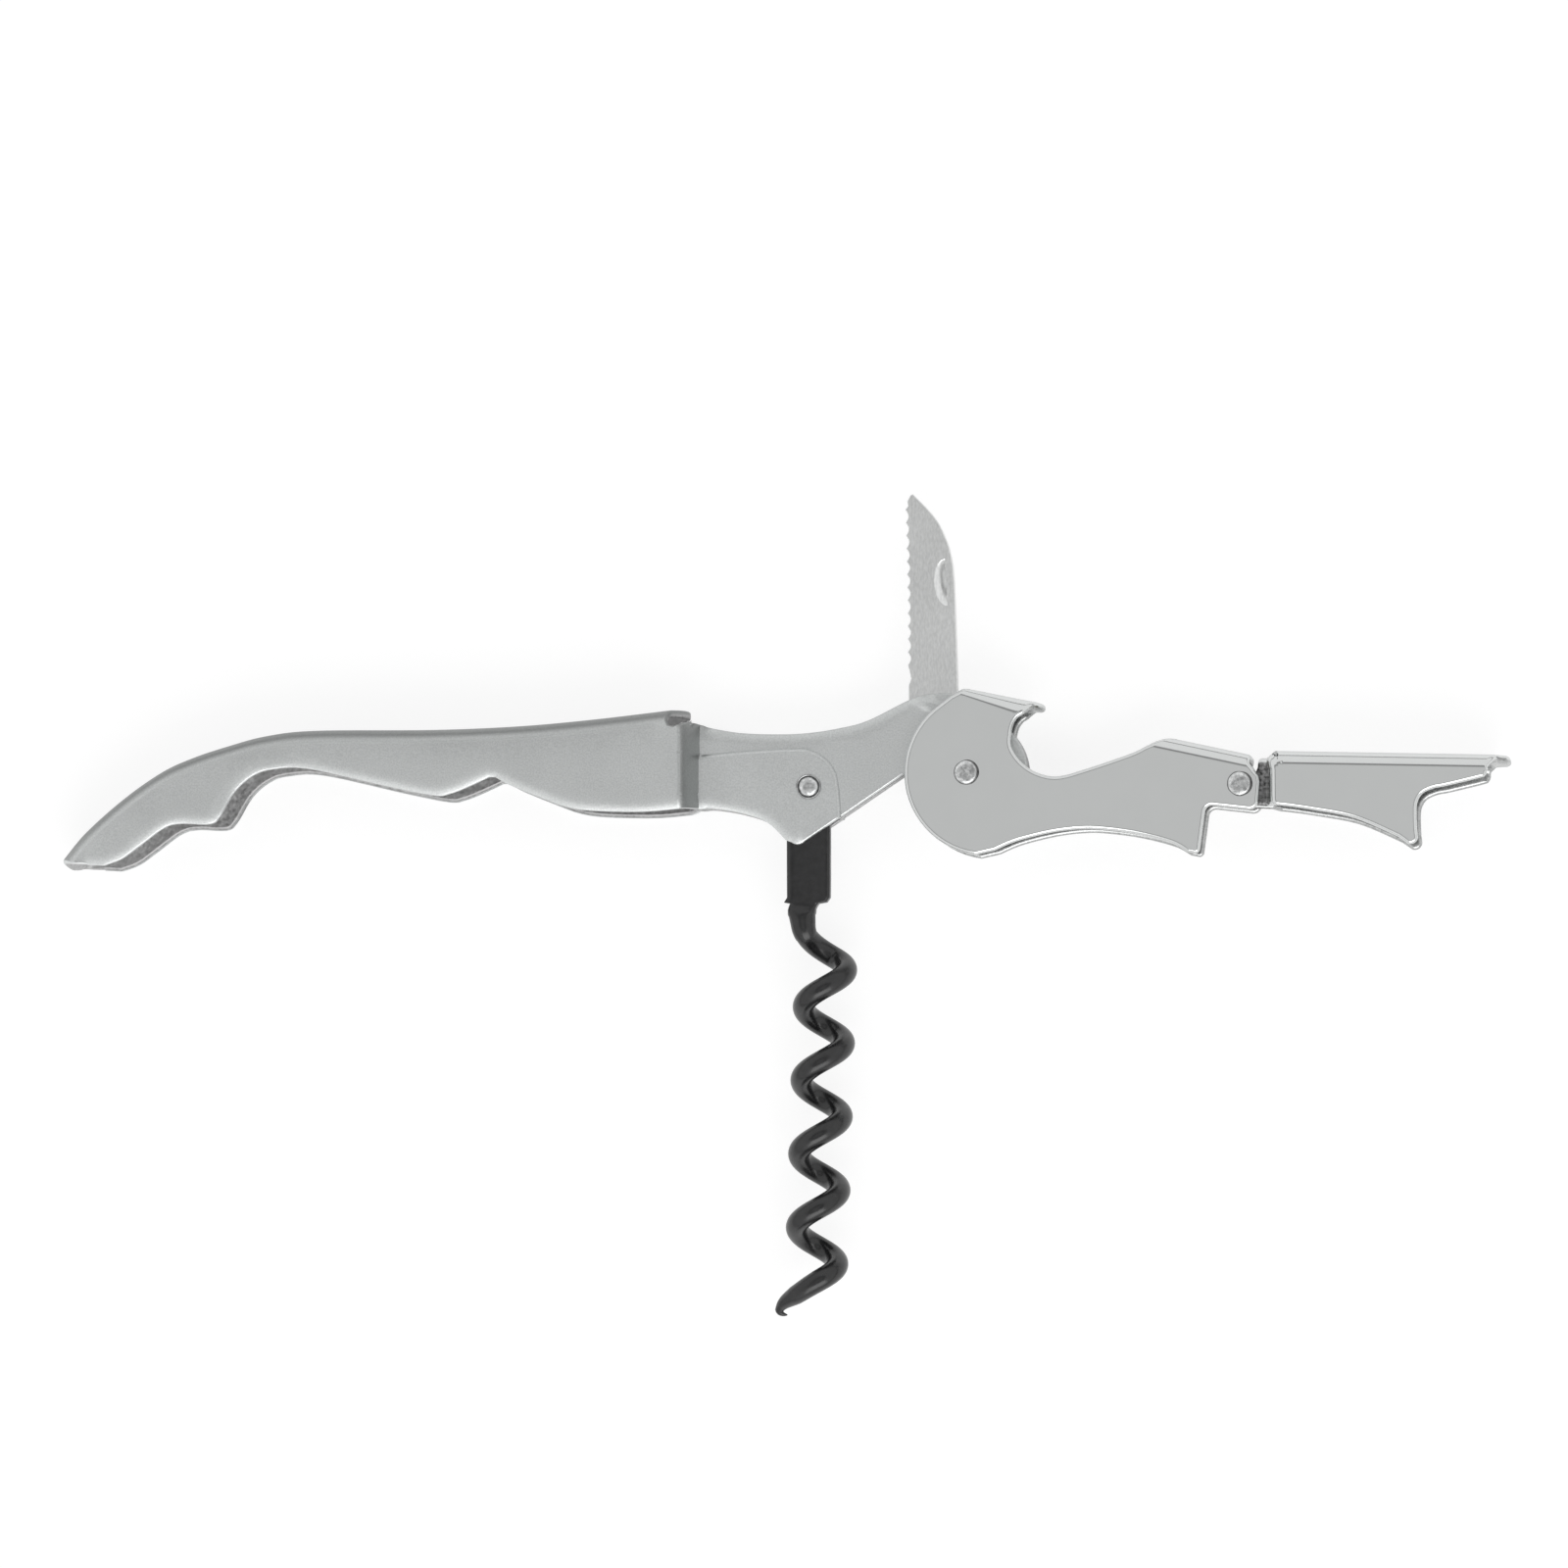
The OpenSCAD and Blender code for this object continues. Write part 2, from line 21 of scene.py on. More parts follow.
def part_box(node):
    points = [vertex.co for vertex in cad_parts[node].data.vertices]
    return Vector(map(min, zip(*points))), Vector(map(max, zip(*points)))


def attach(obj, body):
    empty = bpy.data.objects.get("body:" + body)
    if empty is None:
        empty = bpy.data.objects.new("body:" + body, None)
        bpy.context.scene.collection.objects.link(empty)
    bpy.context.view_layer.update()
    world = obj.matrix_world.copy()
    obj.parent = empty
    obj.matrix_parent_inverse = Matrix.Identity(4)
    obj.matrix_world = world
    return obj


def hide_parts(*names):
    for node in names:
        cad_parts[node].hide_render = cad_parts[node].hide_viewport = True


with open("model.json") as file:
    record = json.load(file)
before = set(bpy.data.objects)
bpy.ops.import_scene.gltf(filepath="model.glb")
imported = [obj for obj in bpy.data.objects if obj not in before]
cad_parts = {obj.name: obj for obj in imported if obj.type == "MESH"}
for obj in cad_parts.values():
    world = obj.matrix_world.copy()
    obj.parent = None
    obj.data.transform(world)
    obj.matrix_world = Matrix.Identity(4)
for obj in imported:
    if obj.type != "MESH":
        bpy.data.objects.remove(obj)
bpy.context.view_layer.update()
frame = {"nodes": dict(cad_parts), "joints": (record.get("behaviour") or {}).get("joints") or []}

# %% [markdown]
# ## One set of units
#
# The shapes are easiest to read in millimetres, round the lever rivet.
# So every piece is worked out with that rivet at zero and the middle plane of the tool at z = 0.
# One function then moves a finished piece to its place in the frame, in metres.
# The rivets' places come from the joints, and the widths from the boxes of the pieces between the sheets.

# %% Places and widths from the frame
MM = 0.001
joint_at = {j["name"]: np.array(j["pos_m"]) / MM for j in frame["joints"]}
CENTRE = joint_at["lever_swing"]
worm_at, knife_at, step_at = (
    (joint_at[n] - CENTRE)[:2] for n in ("worm_fold", "knife_fold", "second_stage_swing"))


def span(node, axis=2):
    """Lowest and highest value of a CAD node along an axis, in millimetres from the lever rivet."""
    low, high = np.array(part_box(node)) / MM - CENTRE
    return low[axis], high[axis]


head_in = span("lever_bush")[1]  # inside of the head's cheeks
head_out = span("lever_washer_front")[0]  # outside of them
SHEET = head_out - head_in
lever_out = span("lever_first_stage")[1]
grip_out = span("handle")[1]
second_out = span("lever_second_stage")[1]
root_in = span("step_bush")[1]
butt = span("handle", 0)[0]
lever_tip = span("lever_second_stage", 0)[1]
HOLE, PIN_HOLE = 1.15, 0.85  # radii of the holes for the rivets and for the knife pin
TANG_HALF = 0.95  # half the thickness of the worm's flat tang
print("half widths in mm:", [round(w, 2) for w in (head_out, lever_out, grip_out)])

# %% [markdown]
# ## Curves for the outlines
#
# An outline is drawn like a pattern on paper: a few points, a smooth curve through them, and arcs at the corners.
# The curve is a Catmull-Rom spline: between two points it is a cubic whose slopes come from the neighbours.

# %% Curve tools


def unit(v):
    """The same directions with length 1: each row divided by its length."""
    return v / np.maximum(np.linalg.norm(v, axis=1), 1e-12)[:, None]


def travelled(line):
    """Distance along a line from its start to each of its points."""
    return np.r_[0, np.cumsum(np.linalg.norm(np.diff(line, axis=0), axis=1))]


def curve(points, per=8):
    """Catmull-Rom: 0.5 (2b + (c-a) t + (2a-5b+4c-d) t2 + (3b-a-3c+d) t3) between b and c."""
    p = np.asarray(points, float)
    q = np.vstack([p[0], p, p[-1]])
    a, b, c, d = (q[k:len(q) - 3 + k, None] for k in range(4))
    t = (np.arange(per) / per)[None, :, None]
    body = 0.5 * (2 * b + (c - a) * t + (2 * a - 5 * b + 4 * c - d) * t**2 + (3 * b - a - 3 * c + d) * t**3)
    return np.vstack([body.reshape(-1, p.shape[1]), p[-1]])


def arc(centre, radius, start, end, n=10):
    """Points on a circle from one angle to another, in degrees."""
    a = np.radians(np.linspace(start, end, n + 1))
    return np.asarray(centre) + radius * np.c_[np.cos(a), np.sin(a)]


def even(line, step):
    """The same line with points at an even distance."""
    far = travelled(line)
    at = np.linspace(0, far[-1], int(far[-1] / step) + 1)
    return np.stack([np.interp(at, far, v) for v in line.T], 1)


def ring(centre, radius, n=40):
    """A round hole, drawn clockwise."""
    return arc(centre, radius, 0, -360, n)[:-1]


def fine(loop, step=0.3):
    """Divides the long sides of a closed outline, and keeps its own points."""
    p = np.asarray(loop, float)
    p = p[np.linalg.norm(p - np.roll(p, 1, 0), axis=1) > 1e-4]
    v = np.roll(p, -1, 0) - p
    n = np.maximum(1, np.ceil(np.linalg.norm(v, axis=1) / step).astype(int))
    i = np.repeat(np.arange(len(p)), n)
    k = np.arange(len(i)) - np.repeat(np.cumsum(n) - n, n)
    return p[i] + v[i] * (k / n[i])[:, None]


def outward(loop):
    """Right-hand normal at each point of a closed loop, and how much longer an inset is at a corner."""
    u = unit(np.roll(loop, -1, 0) - loop)
    n = np.c_[u[:, 1], -u[:, 0]]
    m = unit(n + np.roll(n, 1, 0))
    return m, np.clip(1 / np.maximum((m * n).sum(1), 0.5), 1, 1.6)


def turned(loop, sign):
    """The loop with its points in the wanted order: sign 1 is anticlockwise, -1 is clockwise."""
    x, y = loop.T
    area = np.sum(x * np.roll(y, -1) - y * np.roll(x, -1))
    return loop if area * sign > 0 else loop[::-1]


def room_inside(loop, normal):
    """Radius of the largest circle inside that touches the loop at each point: gap2 / (2 gap . inward)."""
    gap = loop[None] - loop[:, None]
    ahead = -(gap * normal[:, None]).sum(2)
    return np.where(ahead > 1e-6, (gap**2).sum(2) / np.maximum(2 * ahead, 1e-9), np.inf).min(1)


def inset(loop, by):
    """Moves each point of a loop inwards, less where the loop is narrow.

    Where neighbours would still cross, their moves are averaged until they don't.
    """
    n, longer = outward(loop)
    depth = np.minimum(by, np.maximum(0.75 * room_inside(loop, n), 0.04))
    for _ in range(3):
        depth = np.minimum(depth, (np.roll(depth, 1) + depth + np.roll(depth, -1)) / 3)
    move = -n * (longer * depth)[:, None]
    old = np.roll(loop, -1, 0) - loop
    for _ in range(400):  # it stops by itself, long before this
        new = old + np.roll(move, -1, 0) - move
        bad = (new * old).sum(1) < 0.12 * (old * old).sum(1)
        if not bad.any():
            break
        bad = bad | np.roll(bad, 1)
        mean = (np.roll(move, 1, 0) + 2 * move + np.roll(move, -1, 0)) / 4
        move[bad] = mean[bad]
    return n, move, depth


def inside(p, loops):
    """Even-odd test: a point is inside when a ray from it crosses the outlines an odd number of times."""
    hit = np.zeros(len(p), bool)
    for loop in loops:
        a, b = loop, np.roll(loop, -1, 0)
        y = p[:, 1:2]
        cross = (a[:, 1] > y) != (b[:, 1] > y)
        with np.errstate(divide="ignore", invalid="ignore"):
            x = a[:, 0] + (y - a[:, 1]) / (b[:, 1] - a[:, 1]) * (b[:, 0] - a[:, 0])
        hit ^= (np.sum(cross & (p[:, 0:1] < x), axis=1) % 2) == 1
    return hit


def grid(x0, x1, dx, y0, y1, dy):
    """A block of evenly spaced points."""
    return np.stack(np.meshgrid(np.arange(x0, x1, dx), np.arange(y0, y1, dy)), -1).reshape(-1, 2)


def ease(t):
    """Smooth step from 0 to 1: t3 (10 - 15 t + 6 t2), flat at both ends."""
    t = np.clip(t, 0, 1)
    return t**3 * (10 - 15 * t + 6 * t * t)


# %% [markdown]
# ## From blank to sheet
#
# A blank is an outline with holes. Its edges are rounded by rings, along a quarter of an ellipse.
# The two flat sides are filled with triangles between the innermost rings.
#
# Bending is a function that takes a point of the blank and gives its place in space.
# The side of the sheet is found from the slopes of that function: their cross product is the normal.
# The thickness is then laid off along the normal, so a bent sheet keeps its gauge.
#
# The same slopes also give exact normals for the shading, so large flats stay flat beside the small round edges.

# %% Sheet builder
EDGE_STEPS = 4  # rings on a quarter turn of an edge
HOLE_EDGE = 0.3  # widest rounding of a hole's edge
NEAR_RIM = 0.09  # extra points closer than this to a ring are left out


def nearest(p, line):
    """Index of the nearest point of a line for each point."""
    return np.concatenate([np.linalg.norm(c[:, None] - line[None], axis=2).argmin(1)
                           for c in np.array_split(p, max(1, len(p) // 400))])


def frame_of(bend, p, eps=0.01):
    """Place, both slopes and normal of a bent blank at the points p."""
    ex, ey = np.array([eps, 0]), np.array([0, eps])
    u = bend(p + ex) - bend(p - ex)
    v = bend(p + ey) - bend(p - ey)
    return bend(p), unit(u), unit(v), unit(np.cross(u, v))


def ring_quads(rings, count):
    """Quads between neighbouring rings of count points each."""
    k = np.arange(count)
    a = (np.arange(rings - 1) * count)[:, None] + k
    b = a - k + (k + 1) % count
    return np.stack([a, b, b + count, a + count], -1).reshape(-1, 4)


def fan(start, count, tip):
    """Triangles from a ring to one point."""
    k = np.arange(count)
    return np.c_[start + k, start + (k + 1) % count, np.full(count, tip)]


def triangles(loops, extra):
    """Delaunay triangles between closed loops, with extra points inside them. All in single precision."""
    edges, start = [], 0
    for n in map(len, loops):
        edges += [(start + k, start + (k + 1) % n) for k in range(n)]
        start += n
    allpts = np.vstack(loops + [extra]).astype(np.float32).astype(float)
    loops = np.split(allpts[:start], np.cumsum([len(loop) for loop in loops])[:-1])
    found = geometry.delaunay_2d_cdt([Vector(q) for q in allpts.tolist()], edges, [], 0, 1e-7)
    origin = np.array([o[0] if o else -1 for o in found[3]])
    tri = origin[np.array(found[2])]
    tri = tri[(tri >= 0).all(1)]
    return tri[inside(allpts[tri].mean(1), loops)]


def block(points, height, tilt, side, wide, out):
    """One row for each point: x, y, height, tilt, side and width of the edge there, and outward direction."""
    n = len(points)
    single = np.stack([np.broadcast_to(value, n) for value in (height, tilt, side, wide)], 1)
    return np.c_[points, single, np.broadcast_to(out, (n, 2))]


def sheet(outline, holes, bend, thick, edge, extra, relief=None):
    """Places, normals, side and faces of a bent sheet. edge is how far its rounding reaches (inwards, down)."""
    edge_in, edge_down = edge
    loops = [turned(fine(outline), 1)] + [turned(np.asarray(h), -1) for h in holes]
    moves = [inset(loop, edge_in if k == 0 else min(edge_in, HOLE_EDGE)) for k, loop in enumerate(loops)]
    turn = np.radians(np.linspace(0, 90, EDGE_STEPS + 1))
    levels = [(-1, a) for a in turn[::-1]] + [(1, a) for a in turn]
    table, faces, first, last, start = [], [], [], [], 0
    for loop, (n, move, depth) in zip(loops, moves):
        count = len(loop)
        table += [block(loop + move * (1 - math.cos(a)), s * (thick / 2 - edge_down + edge_down * math.sin(a)),
                        a, s, depth, n) for s, a in levels]
        faces.append(start + ring_quads(len(levels), count))
        first.append(start + np.arange(count))
        start += count * len(levels)
        last.append(start - count + np.arange(count))
    inner = [table[(i + 1) * len(levels) - 1][:, :2] for i in range(len(loops))]
    extra = extra[inside(extra, inner)]
    rim = np.vstack(inner + [(loop + np.roll(loop, 1, 0)) / 2 for loop in inner])
    extra = extra[np.linalg.norm(extra - rim[nearest(extra, rim)], axis=1) > NEAR_RIM]
    tri = triangles(inner, extra)
    for s, rim_ids in ((-1, np.concatenate(first)), (1, np.concatenate(last))):
        ids = np.concatenate([rim_ids, start + np.arange(len(extra))])
        faces.append(ids[tri if s > 0 else tri[:, ::-1]])
        table.append(block(extra, s * thick / 2, math.pi / 2, s, edge_in, 0))
        start += len(extra)
    table = np.vstack(table)
    p, out = table[:, :2], table[:, 6:]
    height, tilt, side, wide = table[:, 2:6].T

    def solid(q):
        """Place of each point of the blank, moved along the normal."""
        cut = relief(q, side) if relief else 0
        place, _, _, n = frame_of(bend, q)
        return place + n * (height - side * cut)[:, None]

    place, u, v, n = frame_of(bend, p)
    across = out[:, :1] * u + out[:, 1:] * v
    shade = (edge_down * np.cos(tilt))[:, None] * across + (wide * np.sin(tilt) * side)[:, None] * n
    if relief:
        m = frame_of(solid, p)[3]
        cut_in = (tilt > 1.5) & (relief(p, side) > 1e-4) & ((m * n).sum(1) > 0.6)
        shade[cut_in] = m[cut_in] * side[cut_in, None]
    # the third value marks the inner side, which gets the dull look with painted shade
    return solid(p), unit(shade), (side < 0) * 1.0, faces


def weld_mirror(place, shade, inner, faces):
    """Cuts a half at z = 0, mirrors it and joins both halves along the cut."""
    bm = bmesh.new()
    layer = bm.verts.layers.float_vector.new("shade")
    mark = bm.verts.layers.float.new("inner")
    verts = [bm.verts.new(q) for q in place.tolist()]
    for vert, s, m in zip(verts, shade.tolist(), inner.tolist()):
        vert[layer] = s
        vert[mark] = m
    for f in (f for rows in faces for f in rows.tolist()):
        bm.faces.new([verts[i] for i in f])
    bmesh.ops.bisect_plane(bm, geom=bm.verts[:] + bm.edges[:] + bm.faces[:], dist=1e-6,
                           plane_co=(0, 0, 0), plane_no=(0, 0, 1), clear_inner=True)
    bm.verts.index_update()
    place = np.array([v.co[:] for v in bm.verts])
    shade = np.array([v[layer][:] for v in bm.verts])
    inner = np.array([v[mark] for v in bm.verts])
    half = [[v.index for v in f.verts] for f in bm.faces]
    bm.free()
    on_cut = np.abs(place[:, 2]) < 1e-5
    place[on_cut, 2] = 0
    twin = np.where(on_cut, np.arange(len(place)), len(place) + np.cumsum(~on_cut) - 1)
    both = half + [twin[f[::-1]].tolist() for f in half]
    place, shade = (np.vstack([rows, rows[~on_cut] * [1, 1, -1]]) for rows in (place, shade))
    return place, shade, np.r_[inner, inner[~on_cut]], both


def show(name, data):
    """A new object in the scene."""
    obj = bpy.data.objects.new(name, data)
    bpy.context.scene.collection.objects.link(obj)
    return obj


def piece(name, place, shade, inner, faces, body, material, slot, *nodes, back=0.0):
    """Makes the object in the frame, in metres, hangs it on the body it rides on and hides the CAD parts it stands
    for.
    """
    mesh = bpy.data.meshes.new(name)
    rows = [f for some in faces for f in (some.tolist() if isinstance(some, np.ndarray) else [some])]
    mesh.from_pydata(((place + CENTRE) * MM).tolist(), [], rows)
    mesh.polygons.foreach_set("use_smooth", np.ones(len(mesh.polygons), bool))
    if shade is not None:
        mesh.normals_split_custom_set_from_vertices(unit(shade).tolist())
    # inner marks the dull inside with its painted shade; back marks the painted shade on the back
    for label, value in (("inner", inner), ("back", back)):
        values = np.broadcast_to(value, len(place)).astype(np.float32)
        mesh.attributes.new(label, "FLOAT", "POINT").data.foreach_set("value", values)
    mesh.materials.append(material)
    obj = show(name, mesh)
    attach(obj, body)
    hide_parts(*nodes)
    used = np.bincount([loop.edge_index for loop in mesh.loops], minlength=len(mesh.edges))
    print(f"{name}: {len(mesh.polygons)} faces, {np.sum(used != 2)} open edges")


# %% [markdown]
# ## Materials
#
# Four finishes carry the look. The handle is bead-blasted: its grain is fine and even, and painted shade darkens its
# back.
# The lever is plated and polished, so it shows the room. Inside, both are dull and darkened with painted shade.
# The blade is ground, with a grain that runs along it. The worm has a glossy black coating.
# Two numbers stored at the points of a mesh, "inner" and "back", say where the dull inside with its painted shade
# goes and where the painted shade on the back goes.
# All patterns use object coordinates in metres, so a scale of 4000 gives grains of a quarter of a millimetre.

# %% Materials


def feed(tree, target, inputs):
    """Fills sockets of a node by name or number: a socket is linked to it, and any other value is set."""
    for key, value in inputs.items():
        if isinstance(value, bpy.types.NodeSocket):
            tree.links.new(value, target.inputs[key])
        else:
            target.inputs[key].default_value = value


def add_node(tree, kind, inputs=None, **settings):
    """A new shader node with its settings and its filled sockets."""
    made = tree.nodes.new("ShaderNode" + kind)
    for key, value in settings.items():
        setattr(made, key, value)
    feed(tree, made, inputs or {})
    return made


def nodes_of(name):
    """A new material with its node tree and its Principled shader."""
    mat = bpy.data.materials.new(name)
    mat.use_nodes = True
    return mat, mat.node_tree, mat.node_tree.nodes["Principled BSDF"]


def noise(tree, scale, detail=2.0, stretch=(1, 1, 1)):
    """Noise in object coordinates, stretched by a factor along each axis."""
    coord = add_node(tree, "TexCoord").outputs["Object"]
    vector = add_node(tree, "Mapping", {"Scale": stretch, "Vector": coord}).outputs["Vector"]
    return add_node(tree, "TexNoise", {"Scale": scale, "Detail": detail, "Vector": vector}).outputs["Fac"]


def spread(tree, value, low=0.0, high=1.0):
    """Maps the middle of a noise onto a range."""
    return add_node(tree, "MapRange", {"Value": value, "From Min": 0.3, "From Max": 0.7,
                                       "To Min": low, "To Max": high}).outputs["Result"]


def blend(tree, value, first, second):
    """A mix of two colours, driven by a value from 0 to 1. Each is a socket or three numbers."""
    a, b = (rgb if isinstance(rgb, bpy.types.NodeSocket) else (*rgb, 1) for rgb in (first, second))
    return add_node(tree, "Mix", {0: value, 6: a, 7: b}, data_type="RGBA").outputs[2]


def bump(tree, value, distance):
    """Normals of a surface that is raised by a noise, with a height in metres."""
    return add_node(tree, "Bump", {"Distance": distance, "Strength": 1.0, "Height": value}).outputs["Normal"]


def stored(tree, name):
    """A number from 0 to 1 that is stored at the points of the mesh."""
    return add_node(tree, "Attribute", attribute_name=name).outputs["Fac"]


def metal(name, dark, light, grain, rough, bump_by, stretch=(1, 1, 1), dull_and_shaded_look=None, back=None):
    """Metal with a fine grain in colour and height, and slow clouds in its roughness.

    dull_and_shaded_look is two greys and the roughness of the inner side: a dull finish with painted shade. back is
    how dark the painted shade on the back makes it.
    """
    mat, tree, shader = nodes_of(name)
    fine_grain = noise(tree, grain, 2, stretch)
    grains = spread(tree, fine_grain)
    colour = blend(tree, grains, dark, light)
    # painted shade: a darker copy of the grain, blended in where the stored back mark says
    if back:
        shaded = blend(tree, grains, *([back * c for c in rgb] for rgb in (dark, light)))
        colour = blend(tree, stored(tree, "back"), colour, shaded)
    gloss = spread(tree, noise(tree, 120, 3), *rough)
    # the inner side: a dull, mottled grey, partly painted shade of the inside
    if dull_and_shaded_look:
        low, high, rough_in = dull_and_shaded_look
        shaded_inside_mask = stored(tree, "inner")
        mottle = spread(tree, noise(tree, 2200, 3))
        colour = blend(tree, shaded_inside_mask, colour, blend(tree, mottle, (low,) * 3, (high,) * 3))
        gloss = blend(tree, shaded_inside_mask, gloss, spread(tree, mottle, *rough_in))
    feed(tree, shader, {"Base Color": colour, "Roughness": gloss, "Metallic": 1,
                        "Normal": bump(tree, fine_grain, bump_by)})
    return mat


# satin: painted shade on the back darkens the grain to 0.42 of its colour
satin = metal("satin_steel", (0.71, 0.73, 0.725), (0.86, 0.88, 0.875), 5200, (0.34, 0.40), 0.000012,
              dull_and_shaded_look=(0.42, 0.70, (0.5, 0.7)), back=0.42)
# the lever's inside runs from nearly black to mid grey: dull plating plus painted shade between the cheeks
chrome = metal("polished_plating", (0.775, 0.79, 0.785), (0.785, 0.80, 0.795), 400, (0.12, 0.14), 0.0,
               dull_and_shaded_look=(0.03, 0.45, (0.35, 0.5)))
ground = metal("ground_blade", (0.80, 0.81, 0.805), (0.93, 0.94, 0.935), 4200, (0.16, 0.25), 0.000006, (1, 0.35, 1))
# rivets: nearly black where the stored inner mark says, as painted shade round the foot of each head
domed = metal("rivet_metal", (0.50, 0.51, 0.51), (0.92, 0.93, 0.93), 2600, (0.20, 0.34), 0.00003,
              dull_and_shaded_look=(0.05, 0.2, (0.3, 0.5)))
brass = metal("plain_brass", (0.62, 0.48, 0.22), (0.80, 0.66, 0.36), 2500, (0.30, 0.42), 0.000006)
plain = metal("plain_steel", (0.60, 0.61, 0.61), (0.76, 0.77, 0.77), 2500, (0.28, 0.38), 0.000006)

black, tree, shader = nodes_of("black_coating")  # glossy, with a faint orange-peel surface
peel = noise(tree, 1400, 3)
feed(tree, shader, {
    "Base Color": blend(tree, spread(tree, peel), (0.006, 0.006, 0.0065), (0.014, 0.014, 0.015)),
    "Roughness": spread(tree, noise(tree, 300, 3), 0.24, 0.38),
    "Coat Weight": 0.35, "Coat Roughness": 0.15, "Normal": bump(tree, peel, 0.00002)})

# %% [markdown]
# ## The handle
#
# The handle is one blank. Its grip is folded along the curved back, and its head is squeezed together at the neck.
# The bending function has a fold along the back, a shoulder where the cheek steps inwards, and a shallow seat that
# is pressed out round the worm rivet. The cheeks also dip a little at their edges.
# In the thin head only the outside of the sheet dips, so the blade and the worm keep their room.
#
# The fold starts at a line. Beyond it the sheet follows a circle for a quarter turn, and then it runs straight to
# the middle plane.

# %% Handle outline
neck, grip_start = -33.4, -35.5  # where the head begins and where the grip ends
GRIP_FOLD = 1.8  # outer radius of the fold along the back
BACK_Y = 6.2  # height of the back over the lever rivet, along most of the grip
LIP = 0.6  # how far the back reaches past the cheeks
cheek_end = butt + LIP
back = even(curve(np.vstack([
    [cheek_end, 0] + np.array([[-0.55, -10.2], [0.05, -9.35], [2.85, -6.05], [7.6, -1.95], [12.4, 1.3],
                               [16.4, 3.05], [20.7, 4.4]]),
    [cheek_end, BACK_Y] + np.array([[25.5, -0.6], [31.8, 0], [46.5, -0.1]]),
    [grip_start, BACK_Y] + np.array([[-20.1, 0.2], [-10.8, 0.9], [-1.1, 1.9]]),
    [[neck + 0.5, BACK_Y + 2.15]]])), 0.6)
fingers = np.vstack([
    curve([grip_start, 0] + np.array([[0, -4.1], [-4.4, -4.4], [-10.6, -4.2], [-13.8, -3.7], [-16.8, -2.6],
                                      [-20.9, -0.9], [-22.7, 0.1]])),
    curve(np.vstack([
        [grip_start, 0] + np.array([[-23.5, 0.1], [-26.2, -1.1], [-28.4, -1.9], [-30.3, -2.1]]),
        [cheek_end, 0] + np.array([[41.7, -1], [31.3, 1.4], [26.6, 1.4], [24.1, 0.6], [21.9, -1.3], [20, -4.4],
                                   [18.7, -5.3], [15.2, -5.2], [13, -5.7], [9.9, -7.9], [7.6, -9.5],
                                   [5.4, -10.3]])]))])
chin = worm_at + [-1.5, -7.1]
head_chin = np.vstack([
    arc(chin + [0.1, 1.1], 1.1, -55, -130, 6),
    curve([chin + [-1.4, 0.6], *([neck, 0] + np.array([[8.5, -5.7], [5.5, -4.6], [2.3, -4], [0, -3.9]]))])])
head_top = curve([[-5.2, 9.9], [-7.6, 9.1], [-12.6, 6.7],
                  *([neck, 0] + np.array([[17.1, 5.8], [13.4, 5.3], [9.7, 5.2], [5.4, 5.4], [2.3, 5.9], [0.1, 6.4],
                                          [-0.9, 6.7]]))])


def shifted(line, by):
    """A line moved to its left by a distance, and its normals on that side."""
    v = np.diff(line, axis=0)
    n = np.c_[-v[:, 1], v[:, 0]] / np.linalg.norm(v, axis=1)[:, None]
    m = unit(np.vstack([n[:1], n[:-1] + n[1:], n[-1:]]))
    return line + by * m, m


fold_line, fold_normal = shifted(back, -GRIP_FOLD)


def beyond(p, line, normal):
    """For each point: how far it lies beyond a line, the foot on the line and the normal there.

    The foot slides along the line until the way from it to the point is square to the line.
    """
    far = travelled(line)
    at = lambda s, values: np.stack([np.interp(s, far, v) for v in values.T], 1)
    s = far[nearest(p, line)]
    for _ in range(12):  # enough tries for a foot that stops moving
        foot, m = at(s, line), at(s, normal)
        s = np.clip(s + 0.8 * ((p - foot) * m[:, ::-1] * [1, -1]).sum(1), 0, far[-1])
    foot, m = at(s, line), unit(at(s, normal))
    return ((p - foot) * m).sum(1), foot, m


def folded(p, z_flat, dist, foot, norm, radius):
    """Wraps what lies beyond the line: r sin(d/r) outwards and r (1 - cos(d/r)) down, then straight down."""
    d = np.maximum(dist, 0)
    a = np.minimum(d / radius, math.pi / 2)
    straight = np.maximum(d - radius * math.pi / 2, 0)
    xy = np.where((dist > 0)[:, None], foot + norm * (radius * np.sin(a))[:, None], p)
    return np.c_[xy, z_flat - radius * (1 - np.cos(a)) - straight]


def half_web(radius, half_width):
    """Length of blank from the start of a fold to a little past the middle plane."""
    return (radius - SHEET / 2) * (math.pi / 2 - 1) + half_width - SHEET / 2 + BEYOND


SEAT_IN = max(TANG_HALF + 0.1, head_in + 0.3)  # inside of the seat, clear of the tang
SEAT_RUN = 0.44  # width of the pressed edge of the seat
seat_edge = even(curve(worm_at + np.array([
    [-14.3, 3.7], [-12.7, 3.8], [-7.7, 4.2], [-1.5, 4.45], [0.3, 4.15], [2.0, 3.1], [3.0, 1.6], [3.35, 0.0],
    [3.55, -2.1], [3.8, -6.6]])), 0.3)
seat_edge, seat_normal = shifted(seat_edge, 0)

BEYOND = 1.3  # how far a half blank runs past the middle plane before it is cut there
flap = half_web(GRIP_FOLD, grip_out)
last_back = np.flatnonzero(fold_line[:, 0] < grip_start - 0.3)[-1]


def at_end(k, pairs):
    """Blank points near the point k of the fold line, given as (along it, beyond it)."""
    n = fold_normal[k]
    return np.array([fold_line[k] + np.array([n[1], -n[0]]) * a + n * d for a, d in pairs])


